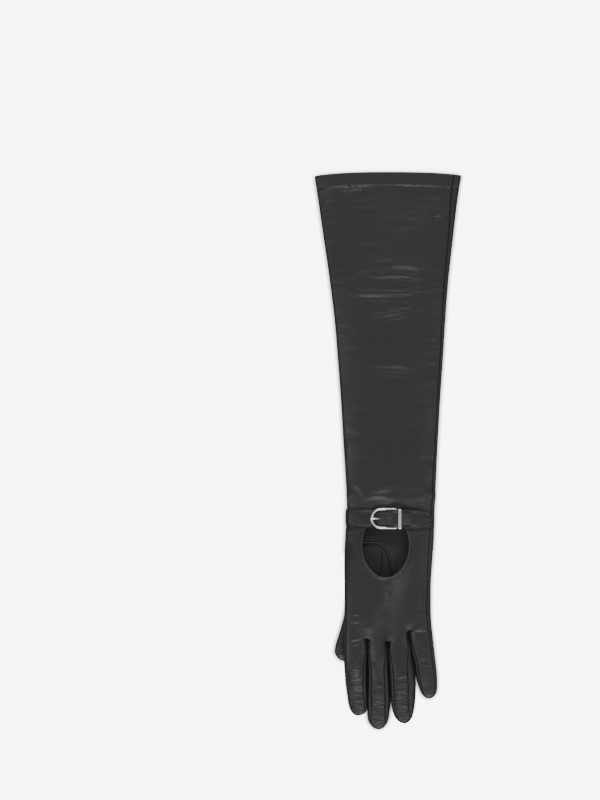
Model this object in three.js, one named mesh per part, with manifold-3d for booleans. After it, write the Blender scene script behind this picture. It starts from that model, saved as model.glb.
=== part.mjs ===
// Elbow-length leather dress glove for the left hand, lying flat with its back up and its thumb folded under the palm.
// Millimetres. +X runs across the glove to the little-finger side, +Y to the hem, -Y to the fingertips and +Z up.
// The origin is on the surface that the glove lies on, in the middle of its length and width.
// Every leather piece is a wall of even thickness, bent over sections of the lying glove and joined at its seams.
import * as THREE from "three";
import { mergeVertices } from "three/addons/utils/BufferGeometryUtils.js";
import Module from "manifold-3d";

const wasm = await Module();
wasm.setup();
const { lerp, smoothstep, clamp } = THREE.MathUtils;

// Leather
const WALL = 1.0; // glove leather, one thickness
const SEAM_GAP = 0.4; // between two pieces at a seam
const FIT_GAP = 0.3; // between pieces that touch

// Arm and hand: a row for each section across the lying glove. left and right are its outline, height its thickness,
// edge the radius of its folded sides, crown how flat its top is (2 is a dome, 6 nearly flat), and seam how far the
// little-finger side seam has rolled over from the edge on to the top.
const BODY = [
  { y: 256.5, left: -67.8, right: 67.8, height: 14.0, edge: 2.8, crown: 2.0, seam: 7.0 },
  { y: 240.0, left: -65.2, right: 65.0, height: 13.0, edge: 2.6, crown: 2.2, seam: 6.4 },
  { y: 194.0, left: -58.7, right: 59.7, height: 13.5, edge: 2.6, crown: 2.2, seam: 4.2 },
  { y: 157.0, left: -53.5, right: 55.7, height: 14.0, edge: 2.6, crown: 2.2, seam: 3.4 },
  { y: 120.0, left: -49.0, right: 52.9, height: 14.0, edge: 2.6, crown: 2.2, seam: 3.0 },
  { y: 83.0, left: -45.9, right: 50.6, height: 13.5, edge: 2.6, crown: 2.2, seam: 2.6 },
  { y: 47.0, left: -43.2, right: 48.1, height: 13.5, edge: 2.6, crown: 2.3, seam: 2.3 },
  { y: 10.0, left: -41.0, right: 46.0, height: 13.0, edge: 2.6, crown: 2.4, seam: 2.2 },
  { y: -27.0, left: -38.7, right: 44.3, height: 12.5, edge: 2.7, crown: 2.6, seam: 2.8 },
  { y: -51.0, left: -37.8, right: 43.2, height: 12.0, edge: 2.8, crown: 2.8, seam: 3.1 },
  { y: -82.0, left: -39.5, right: 42.3, height: 12.0, edge: 3.0, crown: 3.0, seam: 4.4 },
  { y: -101.0, left: -40.5, right: 40.9, height: 12.5, edge: 3.2, crown: 3.2, seam: 4.0 },
  { y: -119.0, left: -40.4, right: 39.7, height: 12.5, edge: 3.4, crown: 3.6, seam: 3.5 },
  { y: -137.0, left: -40.3, right: 39.4, height: 12.2, edge: 3.8, crown: 4.2, seam: 3.7 },
  { y: -156.0, left: -40.6, right: 39.8, height: 11.6, edge: 4.2, crown: 5.0, seam: 3.8 },
  { y: -176.0, left: -40.8, right: 42.1, height: 11.0, edge: 4.4, crown: 6.0, seam: 3.2 },
];
const RADIAL_SEAM_SHARE = 0.6; // the thumb-side seam has rolled under by this share of the other one's roll
const HEM_DEPTH = 11.5; // turned in and stitched down, so the wall is double there
const HEM_BOW = 4.0; // how far the hem's middle stands beyond its corners
const HEM_BOW_FROM = 150; // the bow fades out below here

// Fingers, from the thumb side: a row for each section, as above. tip is the fingertip, and share says how far in from
// each side its seam lies, as a share of half the finger's width.
const FINGERS = [
  {
    name: "index",
    rows: [
      { y: -171.4, left: -40.8, right: -19.85, height: 11.0 },
      { y: -192.6, left: -40.8, right: -19.95, height: 10.4 },
      { y: -211.0, left: -39.4, right: -20.1, height: 10.0 },
      { y: -225.7, left: -37.5, right: -20.8, height: 9.4 },
      { y: -234.9, left: -36.0, right: -21.4, height: 8.6 },
    ],
    tip: -243.6,
    share: { right: 0.34 },
  },
  {
    name: "middle",
    rows: [
      { y: -174.2, left: -18.85, right: -0.95, height: 11.0 },
      { y: -196.2, left: -18.95, right: -0.5, height: 10.6 },
      { y: -214.6, left: -19.0, right: 0.7, height: 10.4 },
      { y: -233.0, left: -19.2, right: 1.8, height: 9.8 },
      { y: -244.1, left: -19.1, right: 1.1, height: 9.0 },
    ],
    tip: -256.5,
    share: { left: 0.26, right: 0.44 },
  },
  {
    name: "ring",
    rows: [
      { y: -172.3, left: 0.0, right: 18.2, height: 11.0 },
      { y: -188.9, left: 0.5, right: 20.3, height: 10.6 },
      { y: -203.6, left: 1.2, right: 23.1, height: 10.4 },
      { y: -218.3, left: 1.9, right: 25.3, height: 10.0 },
      { y: -233.0, left: 3.2, right: 24.8, height: 9.4 },
      { y: -240.4, left: 4.3, right: 23.6, height: 8.8 },
    ],
    tip: -250.8,
    share: { left: 0.3, right: 0.55 },
  },
  {
    name: "little",
    rows: [
      { y: -165.0, left: 19.2, right: 40.8, height: 11.0 },
      { y: -181.5, left: 20.3, right: 42.5, height: 10.4 },
      { y: -196.2, left: 23.1, right: 44.2, height: 10.0 },
      { y: -211.0, left: 26.4, right: 45.4, height: 9.2 },
      { y: -218.3, left: 28.2, right: 45.3, height: 8.6 },
    ],
    tip: -228.1,
    share: { left: 0.34, right: 0.28 },
  },
];
const FINGER_EDGE = 4.6; // radius of a finger's rounded sides
const FINGER_CROWN = 2.6;
const TIP_LENGTH = 12.2; // over which a fingertip rounds off
const TIP_FLATTENS = 0.5; // power at which a fingertip's height follows its rounding width
const TIP_RISES = 0.4; // share of that lost height that is lost underneath
const SEAM_OPENS = 20; // length beyond a fork over which the finger's seams spread to their share
const STRIP_END = 3.6; // the side strips end this far short of the fingertip
const STRIP_CLOSES = 16; // length over which they narrow to that end
const CROTCH_DROP = 1.8; // from a fork in the panel to the strip's own fold

// Forks between the fingers, on the back of the hand. The palm side is cut less deep.
const FORKS = [
  { x: -19.4, y: -171.4 },
  { x: -0.5, y: -174.6 },
  { x: 18.8, y: -164.5 },
];
const PALM_FORK_SHIFT = -12.5;
const FORK_DIMPLE = 1.4; // how far a fork's end is drawn in
const DIMPLE_SPREAD = 4;
const HAND_END = { leftX: -37, left: -171.4, rightX: 35, right: -160.5 }; // where the outer fingers begin at the sides
const FAN_FROM = -132; // below here the rows of the mesh bend towards the forks

// Folded thumb: a row for each section along it. The first rows are the gusset set into the palm's opening.
const THUMB = [
  { y: -83.4, x: -16.0, half: 4.0, height: 1.6 },
  { y: -90.0, x: -16.6, half: 10.5, height: 2.4 },
  { y: -100.0, x: -18.2, half: 14.2, height: 4.0 },
  { y: -112.0, x: -20.6, half: 15.0, height: 5.8 },
  { y: -124.0, x: -22.6, half: 14.4, height: 7.2 },
  { y: -138.0, x: -25.2, half: 13.2, height: 8.0 },
  { y: -152.0, x: -28.0, half: 12.6, height: 8.2 },
  { y: -166.0, x: -31.6, half: 12.2, height: 8.2 },
  { y: -180.0, x: -35.6, half: 11.6, height: 7.8 },
];
const THUMB_TIP = { y: -193.4, x: -38.4 };
const THUMB_EDGE = 3.9;
const THUMB_CROWN = 2.4;
const OPENING = { x: -17.2, y: -117.4, halfWidth: 21.5, halfLength: 35.2 }; // thumb opening in the palm, an ellipse
const LIFT_SPREAD = 19; // how far beside the thumb the hand comes down to the surface again

// Keyhole on the back of the hand, an ellipse whose top lies under the strap
const KEYHOLE = { x: -1.8, y: -87.0, halfWidth: 21.5, halfLength: 29.0 };

// Broad soft folds: centre, direction in degrees from +X, length, width and rise.
const BACK_FOLDS = [
  { x: 4, y: 138, turn: 3, length: 74, width: 9, rise: 1.1 },
  { x: -12, y: 152, turn: -8, length: 56, width: 8, rise: 0.8 },
  { x: 22, y: 206, turn: 24, length: 40, width: 10, rise: 0.9 },
  { x: 22, y: 166, turn: -16, length: 44, width: 8, rise: 0.7 },
  { x: 0, y: 77, turn: -7, length: 70, width: 9, rise: 0.9 },
  { x: -26, y: 14, turn: 16, length: 26, width: 12, rise: 0.9 },
  { x: -16, y: -30, turn: -38, length: 34, width: 10, rise: 1.1 },
  { x: 26, y: -34, turn: 40, length: 34, width: 11, rise: 1.2 },
  { x: -4, y: -128, turn: 84, length: 50, width: 11, rise: 0.8 },
];
const PALM_FOLDS = [
  { x: 0, y: 176, turn: -14, length: 84, width: 10, rise: 0.9 },
  { x: 10, y: 120, turn: -6, length: 66, width: 9, rise: 0.7 },
  { x: 16, y: -152, turn: 3, length: 44, width: 8, rise: 0.8 },
];
const PALM_FOLD_REACH = 0.55; // the palm's folds show only beyond this share of its half width, where it is off the surface

// Wrist strap, in two lengths, and its buckle
const STRAP = { y: -61.8, half: 8.1, thickness: 1.2, pointLength: 11 };
const SHORT_STRAP = { thickness: 0.9, half: 7.7 };
const BUCKLE = { barX: 7.6, curveX: -15.4, half: 9.3, wire: 0.9, rise: 3.0 };
const PRONG = { wire: 0.6, slotHalf: 1.35 };
const KEEPER = { x: 9.9, width: 3.2, half: 9.6, band: 0.9, top: 7.7 };
// Height of the long strap's underside above the leather below it, from the thumb side to its point.
const LONG_RISE = [
  { x: -40, rise: 0.3 },
  { x: -14, rise: 0.35 },
  { x: -9, rise: 0.6 },
  { x: -4.5, rise: 1.9 },
  { x: 1, rise: 4.0 },
  { x: 5, rise: 5.15 },
  { x: 9, rise: 5.3 },
  { x: 13, rise: 4.5 },
  { x: 20, rise: 2.0 },
  { x: 26, rise: 1.6 },
  { x: 41.2, rise: 1.6 },
];
// The same for the short strap's lower length, from its seam to the buckle's bar.
const SHORT_RISE = [
  { x: 39, rise: 0.35 },
  { x: 19, rise: 0.4 },
  { x: 13.4, rise: 1.75 },
  { x: 9.6, rise: 1.6 },
];
const SHORT_RETURN = 16.6; // where its end, folded back over the bar, is stitched down
const PRONG_PATH = [
  { x: 5.6, rise: 2.7 },
  { x: 2.5, rise: 2.3 },
  { x: -1.5, rise: 1.5 },
  { x: -5, rise: 1.15 },
  { x: -8, rise: 1.9 },
  { x: -11, rise: 3.3 },
  { x: -14, rise: 4.5 },
  { x: -16.2, rise: 4.75 },
];
const SLOT = { from: -11.2, to: -4.6, half: 1.05 }; // hole that the prong comes up through
const SPARE_HOLE = { x: -1.0, radius: 1.0 };

// How finely the leather is divided
const SLEEVE_ROWS = 14;
const HAND_FROM = -40;
const HAND_ROWS = 9;
const FAN_ROWS = 4;
const FINGER_ROWS = 6;
const TIP_ROWS = 4;
const TIP_ARC = 1.5; // radians of the quarter turn by which a fingertip is rounded, a little short of closed
const BACK_LANES = [6, 5, 5, 6]; // columns of quads for each finger's lane
const PALM_LANES = [5, 4, 4, 5];
const STRIP_ROWS = FINGER_ROWS + 2;
const STRIP_COLUMNS = 3;
const THUMB_COLUMNS = 16;
const THUMB_ROWS = 10; // along the opening
const WIRE_SIDES = 10;

// A table's column at y, by a smooth curve through its rows, which run towards -Y. It keeps its end values beyond them.
function columnAt(rows, name, y) {
  const last = rows.length - 1;
  if (y >= rows[0].y) return rows[0][name];
  if (y <= rows[last].y) return rows[last][name];
  const i = rows.findIndex((row, n) => n < last && rows[n + 1].y < y);
  const slope = (n) => {
    const a = rows[Math.max(n - 1, 0)];
    const b = rows[Math.min(n + 1, last)];
    return (b[name] - a[name]) / (b.y - a.y);
  };
  const span = rows[i + 1].y - rows[i].y;
  const u = (y - rows[i].y) / span;
  const ease = u * u * (3 - 2 * u);
  return (
    lerp(rows[i][name], rows[i + 1][name], ease) +
    span * (slope(i) * u * (1 - u) ** 2 - slope(i + 1) * u * u * (1 - u))
  );
}

// The same for a short table along x, with straight stretches eased at their ends.
function riseAt(rows, x) {
  const sorted = [...rows].sort((a, b) => b.x - a.x).map((row) => ({ y: row.x, rise: row.rise }));
  return columnAt(sorted, "rise", x);
}

function bodySection(y) {
  const section = {};
  for (const name of ["left", "right", "height", "edge", "crown", "seam"])
    section[name] = columnAt(BODY, name, y);
  return { ...section, y };
}

// A finger's section at y, whose outline rounds off over the last TIP_LENGTH.
function fingerSection(finger, y) {
  const into = clamp((finger.tip + TIP_LENGTH - y) / TIP_LENGTH, 0, 1);
  const round = Math.sqrt(1 - into * into);
  const middle = (columnAt(finger.rows, "left", y) + columnAt(finger.rows, "right", y)) / 2;
  const half = ((columnAt(finger.rows, "right", y) - columnAt(finger.rows, "left", y)) / 2) * round;
  const full = columnAt(finger.rows, "height", y);
  const height = full * round ** TIP_FLATTENS;
  const edge = Math.min(FINGER_EDGE, half * 0.95, height * 0.48);
  return { left: middle - half, right: middle + half, height, edge, crown: FINGER_CROWN, base: (full - height) * TIP_RISES, y };
}

// Distance beyond the thumb's side, and the thumb's height beside that point.
const THUMB_ALONG = [...THUMB, { ...THUMB_TIP, half: 9.5, height: 7.0 }];
function besideThumb(x, y) {
  const at = clamp(y, THUMB_TIP.y, THUMB[0].y);
  const past = Math.abs(y - at);
  const side = Math.max(0, Math.abs(x - columnAt(THUMB_ALONG, "x", at)) - columnAt(THUMB_ALONG, "half", at));
  return { gap: Math.hypot(past, side), height: columnAt(THUMB_ALONG, "height", at) };
}

// How far the hand is held off the surface by the thumb folded under it.
function lift(x, y) {
  const { gap, height } = besideThumb(x, y);
  return (height + FIT_GAP) * (1 - smoothstep(gap, 0.6, LIFT_SPREAD)) * smoothstep(-y, -THUMB[0].y - 15, -THUMB[0].y - 3);
}

function foldRise(folds, x, y) {
  return folds.reduce((sum, fold) => {
    const turn = THREE.MathUtils.degToRad(fold.turn);
    const along = (x - fold.x) * Math.cos(turn) + (y - fold.y) * Math.sin(turn);
    const across = (y - fold.y) * Math.cos(turn) - (x - fold.x) * Math.sin(turn);
    const ends = 1 - smoothstep(Math.abs(along), fold.length * 0.25, fold.length * 0.5);
    return sum + fold.rise * ends * Math.exp(-((across / (fold.width / 2)) ** 2));
  }, 0);
}

function forkDimple(x, y, shift) {
  return FORKS.reduce((sum, fork) => {
    const distance = Math.hypot(x - fork.x, y - fork.y - shift);
    return sum + FORK_DIMPLE * Math.exp(-((distance / DIMPLE_SPREAD) ** 2));
  }, 0);
}

// A point on the outside of a section. turn runs from 0 at the left side over the top to PI at the right side and on
// under the glove to 2 PI.
function skin(section, turn) {
  const { left, right, height, edge, crown, y, base = 0 } = section;
  const half = (right - left) / 2;
  const x = (left + right) / 2 - half * Math.cos(turn);
  const inFromSide = Math.min(half * (1 - Math.abs(Math.cos(turn))), edge);
  const round = Math.sqrt(Math.max(0, 1 - (1 - inFromSide / edge) ** 2));
  const over = Math.sin(turn) >= 0;
  const dome = (height - 2 * edge) * (1 - Math.abs(Math.cos(turn)) ** crown);
  const flat = over ? edge * (1 + round) + dome : edge * (1 - round);
  const share = flat / height;
  const bow = HEM_BOW * smoothstep(y, HEM_BOW_FROM, BODY[0].y) * Math.cos(turn) ** 2;
  const offEdge = smoothstep(Math.abs(Math.sin(turn)), 0.1, 0.5);
  const palmFolds = foldRise(PALM_FOLDS, x, y) * smoothstep(Math.abs(Math.cos(turn)), PALM_FOLD_REACH, 0.9);
  const folds = offEdge * (over ? foldRise(BACK_FOLDS, x, y) : palmFolds);
  const drawn =
    forkDimple(x, y, PALM_FORK_SHIFT) * Math.max(0, 1 - 2 * share) - forkDimple(x, y, 0) * Math.max(0, 2 * share - 1);
  return new THREE.Vector3(x, y - bow, base + flat + folds + drawn + lift(x, y));
}

// The same point with its outward direction. sectionAt gives the section at any y.
function skinWithOut(sectionAt, y, turn) {
  const step = 1e-3;
  const point = skin(sectionAt(y), turn);
  const round = skin(sectionAt(y), turn + step).sub(skin(sectionAt(y), turn - step));
  const along = skin(sectionAt(y + step), turn).sub(point);
  point.out = round.cross(along).normalize();
  return point;
}

// The turn at which a section's top or underside has this x.
const turnOver = ({ left, right }, x) => Math.acos(clamp((left + right - 2 * x) / (right - left), -1, 1));
const turnUnder = (section, x) => 2 * Math.PI - turnOver(section, x);

// The turn that lies this far along the skin from another.
function alongSkin(section, turn, distance) {
  const step = 1e-3;
  const speed = skin(section, turn + step).distanceTo(skin(section, turn - step)) / (2 * step);
  return turn + distance / Math.max(speed, 1e-6);
}

// Where the side seams lie on a section of the arm or hand.
const ulnarSeam = (section) => turnOver(section, section.right - section.seam);
const radialSeam = (section) => turnUnder(section, section.left + section.seam * RADIAL_SEAM_SHARE) - 2 * Math.PI;

// The y of a finger's row in the mesh: even steps from the fork, then the rounded tip.
function fingerRow(finger, start, row) {
  const tipStart = finger.tip + TIP_LENGTH;
  if (row <= FINGER_ROWS) return lerp(start, tipStart, (row / FINGER_ROWS) ** 1.15);
  return tipStart - TIP_LENGTH * Math.sin(((row - FINGER_ROWS) / TIP_ROWS) * TIP_ARC);
}

// How far in from one side of a finger its seam lies, as a share of half its width. shift moves the fork it opens from.
function seamShare(finger, side, y, shift) {
  const root = finger.rows[0].y + shift;
  const opens = side === "right" && finger.name === "little" ? 1 : smoothstep(root - y, -4, SEAM_OPENS);
  const closes = Math.sqrt(clamp((y - finger.tip - STRIP_END) / STRIP_CLOSES, 0, 1));
  return finger.share[side] * lerp(0.12, 1, opens) * closes;
}

// The four seams of a finger's section as turns. The index has one seam on its thumb side, and the little finger's
// outer seam is the side seam of the hand.
function fingerSeams(finger, y) {
  const section = fingerSection(finger, y);
  const half = (section.right - section.left) / 2;
  const inFrom = (side, shift) => half * seamShare(finger, side, y, shift);
  const radial = turnUnder(section, section.left + bodySection(y).seam * RADIAL_SEAM_SHARE * 0.5) - 2 * Math.PI;
  const sideSeam = finger.name === "little";
  return {
    section,
    overLeft: finger.share.left ? turnOver(section, section.left + inFrom("left", 0)) : radial,
    overRight: turnOver(section, section.right - inFrom("right", 0)),
    underRight: sideSeam
      ? turnOver(section, section.right - inFrom("right", 0))
      : turnUnder(section, section.right - inFrom("right", PALM_FORK_SHIFT)),
    underLeft: finger.share.left
      ? turnUnder(section, section.left + inFrom("left", PALM_FORK_SHIFT))
      : radial + 2 * Math.PI,
  };
}

// Turns a patch of quads, given by its outside points, into a closed wall. wallAt gives the thickness at a point. A
// point on the rim may carry its own outward direction, so that both sides of a seam are cut alike.
function wall(points, quads, wallAt) {
  const count = points.length;
  const normals = points.map(() => new THREE.Vector3());
  const edges = new Map();
  for (const quad of quads) {
    const diagonal = points[quad[2]].clone().sub(points[quad[0]]);
    const other = points[quad[quad.length - 1]].clone().sub(points[quad[1]]);
    const normal = diagonal.cross(other);
    quad.forEach((n, k) => {
      normals[n].add(normal);
      edges.set(`${n},${quad[(k + 1) % quad.length]}`, [n, quad[(k + 1) % quad.length]]);
    });
  }
  const rim = [...edges.values()].filter(([a, b]) => !edges.has(`${b},${a}`));
  for (const [n] of rim) if (points[n].out) normals[n].copy(points[n].out);
  const inner = points.map((point, n) => point.clone().addScaledVector(normals[n].normalize(), -wallAt(point)));
  const faces = quads.flatMap((quad) => [quad, [...quad].reverse().map((n) => n + count)]);
  for (const [a, b] of rim) faces.push([b, a, a + count, b + count]);
  return quadGeometry([...points, ...inner], faces);
}

function quadGeometry(points, faces) {
  const geometry = new THREE.BufferGeometry();
  geometry.setAttribute("position", new THREE.Float32BufferAttribute(points.flatMap((p) => p.toArray()), 3));
  geometry.setIndex(faces.flatMap(([a, b, c, d]) => (d === undefined ? [a, b, c] : [a, b, c, a, c, d])));
  return geometry;
}

// A manifold solid from a closed geometry, and back.
function solid(geometry) {
  const bare = geometry.index ? geometry.clone() : mergeVertices(geometry.clone());
  bare.deleteAttribute("normal");
  bare.deleteAttribute("uv");
  const merged = mergeVertices(bare, 1e-4);
  return new wasm.Manifold(
    new wasm.Mesh({
      numProp: 3,
      vertProperties: merged.attributes.position.array,
      triVerts: new Uint32Array(merged.index.array),
    }),
  );
}

function geometryOf(body) {
  const mesh = body.getMesh();
  const geometry = new THREE.BufferGeometry();
  geometry.setAttribute("position", new THREE.BufferAttribute(new Float32Array(mesh.vertProperties), 3));
  geometry.setIndex(new THREE.BufferAttribute(new Uint32Array(mesh.triVerts), 1));
  return geometry;
}

// An upright elliptical punch through the whole glove.
function ellipsePunch({ x, y, halfWidth, halfLength }, inset = 0) {
  const shape = new THREE.Shape();
  shape.absellipse(0, 0, halfWidth - inset, halfLength - inset, 0, 2 * Math.PI);
  const geometry = new THREE.ExtrudeGeometry(shape, { depth: 60, bevelEnabled: false, curveSegments: 24 });
  return geometry.translate(x, y, -30);
}

// Where a panel's hand ends and its fingers begin, at a share of its columns from the thumb side.
function forkLine(x, shift) {
  const stops = [
    { x: HAND_END.leftX, y: HAND_END.left },
    ...FORKS.map((fork) => ({ x: fork.x, y: fork.y + shift })),
    { x: HAND_END.rightX, y: HAND_END.right },
  ];
  const i = Math.max(0, stops.findIndex((stop, n) => n === stops.length - 1 || stops[n + 1].x > x));
  if (i >= stops.length - 1) return stops[stops.length - 1].y;
  return lerp(stops[i].y, stops[i + 1].y, clamp((x - stops[i].x) / (stops[i + 1].x - stops[i].x), 0, 1));
}

// Share of the body's width at which each fork lies, so that the panel's columns run into the fingers.
const FORK_SHARES = FORKS.map((fork) => {
  const section = bodySection(fork.y);
  return (fork.x - section.left) / (section.right - section.left);
});

// The turns of a body section's columns, for the back over the top, or for the palm under it.
function bodyTurns(section, over, lanes) {
  const xs = FORK_SHARES.map((share) => lerp(section.left, section.right, share));
  const gap = SEAM_GAP / 2;
  const stops = over
    ? [alongSkin(section, radialSeam(section), gap), ...xs.map((x) => turnOver(section, x)), alongSkin(section, ulnarSeam(section), -gap)]
    : [
        alongSkin(section, ulnarSeam(section), gap),
        ...[...xs].reverse().map((x) => turnUnder(section, x)),
        alongSkin(section, radialSeam(section) + 2 * Math.PI, -gap),
      ];
  return columnsBetween(stops, lanes);
}

function columnsBetween(stops, lanes) {
  const turns = [stops[0]];
  lanes.forEach((count, lane) => {
    for (let k = 1; k <= count; k++) turns.push(lerp(stops[lane], stops[lane + 1], k / count));
  });
  return turns;
}

// One half of the glove: a hand and sleeve whose mesh runs on into four fingers. over is true for the back.
function panel(over, lanes) {
  const shift = over ? 0 : PALM_FORK_SHIFT;
  const fingers = over ? FINGERS : [...FINGERS].reverse();
  const points = [];
  const quads = [];
  const add = (sectionAt, y, turn) => points.push(skinWithOut(sectionAt, y, turn)) - 1;
  const join = (rowA, rowB) => {
    for (let j = 0; j + 1 < rowA.length; j++) quads.push([rowA[j], rowB[j], rowB[j + 1], rowA[j + 1]]);
  };
  // Straight rows from the hem to the hand. Two of them mark the end of the hem.
  const top = BODY[0].y;
  const levels = [top, top - HEM_DEPTH + 0.4, top - HEM_DEPTH - 0.4];
  for (let i = 1; i <= SLEEVE_ROWS; i++) levels.push(lerp(levels[2], HAND_FROM, i / SLEEVE_ROWS));
  for (let i = 1; i <= HAND_ROWS; i++) levels.push(lerp(HAND_FROM, FAN_FROM, i / HAND_ROWS));
  let row = null;
  for (const y of levels) {
    const next = bodyTurns(bodySection(y), over, lanes).map((turn) => add(bodySection, y, turn));
    if (row) join(row, next);
    row = next;
  }
  // Rows that bend until the last one runs through the forks.
  const ends = bodyTurns(bodySection(FAN_FROM), over, lanes).map((turn) => forkLine(skin(bodySection(FAN_FROM), turn).x, shift));
  for (let i = 1; i <= FAN_ROWS; i++) {
    const next = ends.map((end, j) => {
      const y = lerp(FAN_FROM, end, i / FAN_ROWS);
      return add(bodySection, y, bodyTurns(bodySection(y), over, lanes)[j]);
    });
    join(row, next);
    row = next;
  }
  // Each finger goes on from its own lane of that row.
  let first = 0;
  fingers.forEach((finger, lane) => {
    let last = row.slice(first, first + lanes[lane] + 1);
    const starts = ends.slice(first, first + lanes[lane] + 1);
    for (let i = 1; i <= FINGER_ROWS + TIP_ROWS; i++) {
      const next = last.map((_, j) => {
        const y = fingerRow(finger, starts[j], i);
        const { section, overLeft, overRight, underRight, underLeft } = fingerSeams(finger, y);
        const from = alongSkin(section, over ? overLeft : underRight, SEAM_GAP / 2);
        const to = alongSkin(section, over ? overRight : underLeft, -SEAM_GAP / 2);
        return add((at) => fingerSection(finger, at), y, lerp(from, to, j / lanes[lane]));
      });
      join(last, next);
      last = next;
    }
    first += lanes[lane];
  });
  return { points, quads };
}

// The wall is double in the hem and thinner at the very fingertips.
function panelWall(point) {
  const inHem = point.y + HEM_BOW * smoothstep(point.y, HEM_BOW_FROM, BODY[0].y) * (point.x / 67) ** 2 > BODY[0].y - HEM_DEPTH;
  const finger = FINGERS.find((f) => point.x > columnAt(f.rows, "left", point.y) - 1 && point.x < columnAt(f.rows, "right", point.y) + 1);
  const fromTip = finger ? clamp((point.y - finger.tip) / 5, 0, 1) : 1;
  return inHem ? 2 * WALL : WALL * lerp(0.35, 1, fromTip);
}

function backPanel() {
  const { points, quads } = panel(true, BACK_LANES);
  return geometryOf(solid(wall(points, quads, panelWall)).subtract(solid(ellipsePunch(KEYHOLE))));
}

function palmPanel() {
  const { points, quads } = panel(false, PALM_LANES);
  return geometryOf(solid(wall(points, quads, panelWall)).subtract(solid(ellipsePunch(OPENING, WALL + 0.5))));
}

// The strip of leather that lines one fork and the facing sides of its two fingers.
function forkStrip(index) {
  const fork = FORKS[index];
  const points = [];
  const rows = [];
  const sidePoint = (finger, side, row, across) => {
    const start = fork.y + PALM_FORK_SHIFT * across;
    const y = fingerRow(finger, start, row) - (row ? 0 : CROTCH_DROP);
    const { section, overLeft, overRight, underRight, underLeft } = fingerSeams(finger, y);
    const top = side === "right" ? alongSkin(section, overRight, SEAM_GAP / 2) : alongSkin(section, overLeft, -SEAM_GAP / 2);
    const under = side === "right" ? alongSkin(section, underRight, -SEAM_GAP / 2) : alongSkin(section, underLeft, SEAM_GAP / 2);
    const turn = side === "right" ? lerp(top, under, across) : lerp(top + 2 * Math.PI, under, across);
    return skinWithOut((at) => fingerSection(finger, at), y, turn);
  };
  const addRow = (at) => {
    const row = [];
    for (let j = 0; j <= STRIP_COLUMNS; j++) row.push(points.push(at(j / STRIP_COLUMNS)) - 1);
    rows.push(row);
  };
  const [before, after] = [FINGERS[index], FINGERS[index + 1]];
  for (let i = STRIP_ROWS; i >= 0; i--) addRow((across) => sidePoint(before, "right", i, across));
  addRow((across) => {
    const a = sidePoint(before, "right", 0, across);
    const b = sidePoint(after, "left", 0, across);
    return a.add(b).multiplyScalar(0.5).add(new THREE.Vector3(0, 0.5, 0));
  });
  for (let i = 0; i <= STRIP_ROWS; i++) addRow((across) => sidePoint(after, "left", i, across));
  const quads = [];
  for (let i = 0; i + 1 < rows.length; i++)
    for (let j = 0; j < STRIP_COLUMNS; j++) quads.push([rows[i][j], rows[i][j + 1], rows[i + 1][j + 1], rows[i + 1][j]]);
  return wall(points, quads, (point) => WALL * lerp(0.5, 1, smoothstep(point.y, fork.y - 75, fork.y - 50)));
}

// The thumb's section at y, rounded off at its tip as a finger's is.
function thumbSection(y) {
  const into = clamp((THUMB_TIP.y + TIP_LENGTH - y) / TIP_LENGTH, 0, 1);
  const round = Math.sqrt(1 - into * into);
  const half = columnAt(THUMB_ALONG, "half", Math.max(y, THUMB_TIP.y + TIP_LENGTH)) * round;
  const full = columnAt(THUMB_ALONG, "height", y);
  const height = full * round ** TIP_FLATTENS;
  const edge = Math.min(THUMB_EDGE, half * 0.95, height * 0.48);
  return { x: columnAt(THUMB_ALONG, "x", y), y, half, height, edge, base: (full - height) * TIP_RISES };
}

// A point on the outside of that section. turn runs from 0 at its left side over the top to PI at its right side.
function thumbSkin({ x, y, half, height, edge, base }, turn) {
  const inFromSide = Math.min(half * (1 - Math.abs(Math.cos(turn))), edge);
  const bulge = Math.sqrt(Math.max(0, 1 - (1 - inFromSide / edge) ** 2));
  const dome = (height - 2 * edge) * (1 - Math.abs(Math.cos(turn)) ** THUMB_CROWN);
  const z = Math.sin(turn) >= 0 ? edge * (1 + bulge) + dome : edge * (1 - bulge);
  return new THREE.Vector3(x - half * Math.cos(turn), y, base + z);
}

const thumbTurn = ({ x, half }, at) => Math.acos(clamp((x - at) / half, -1, 1));

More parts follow.
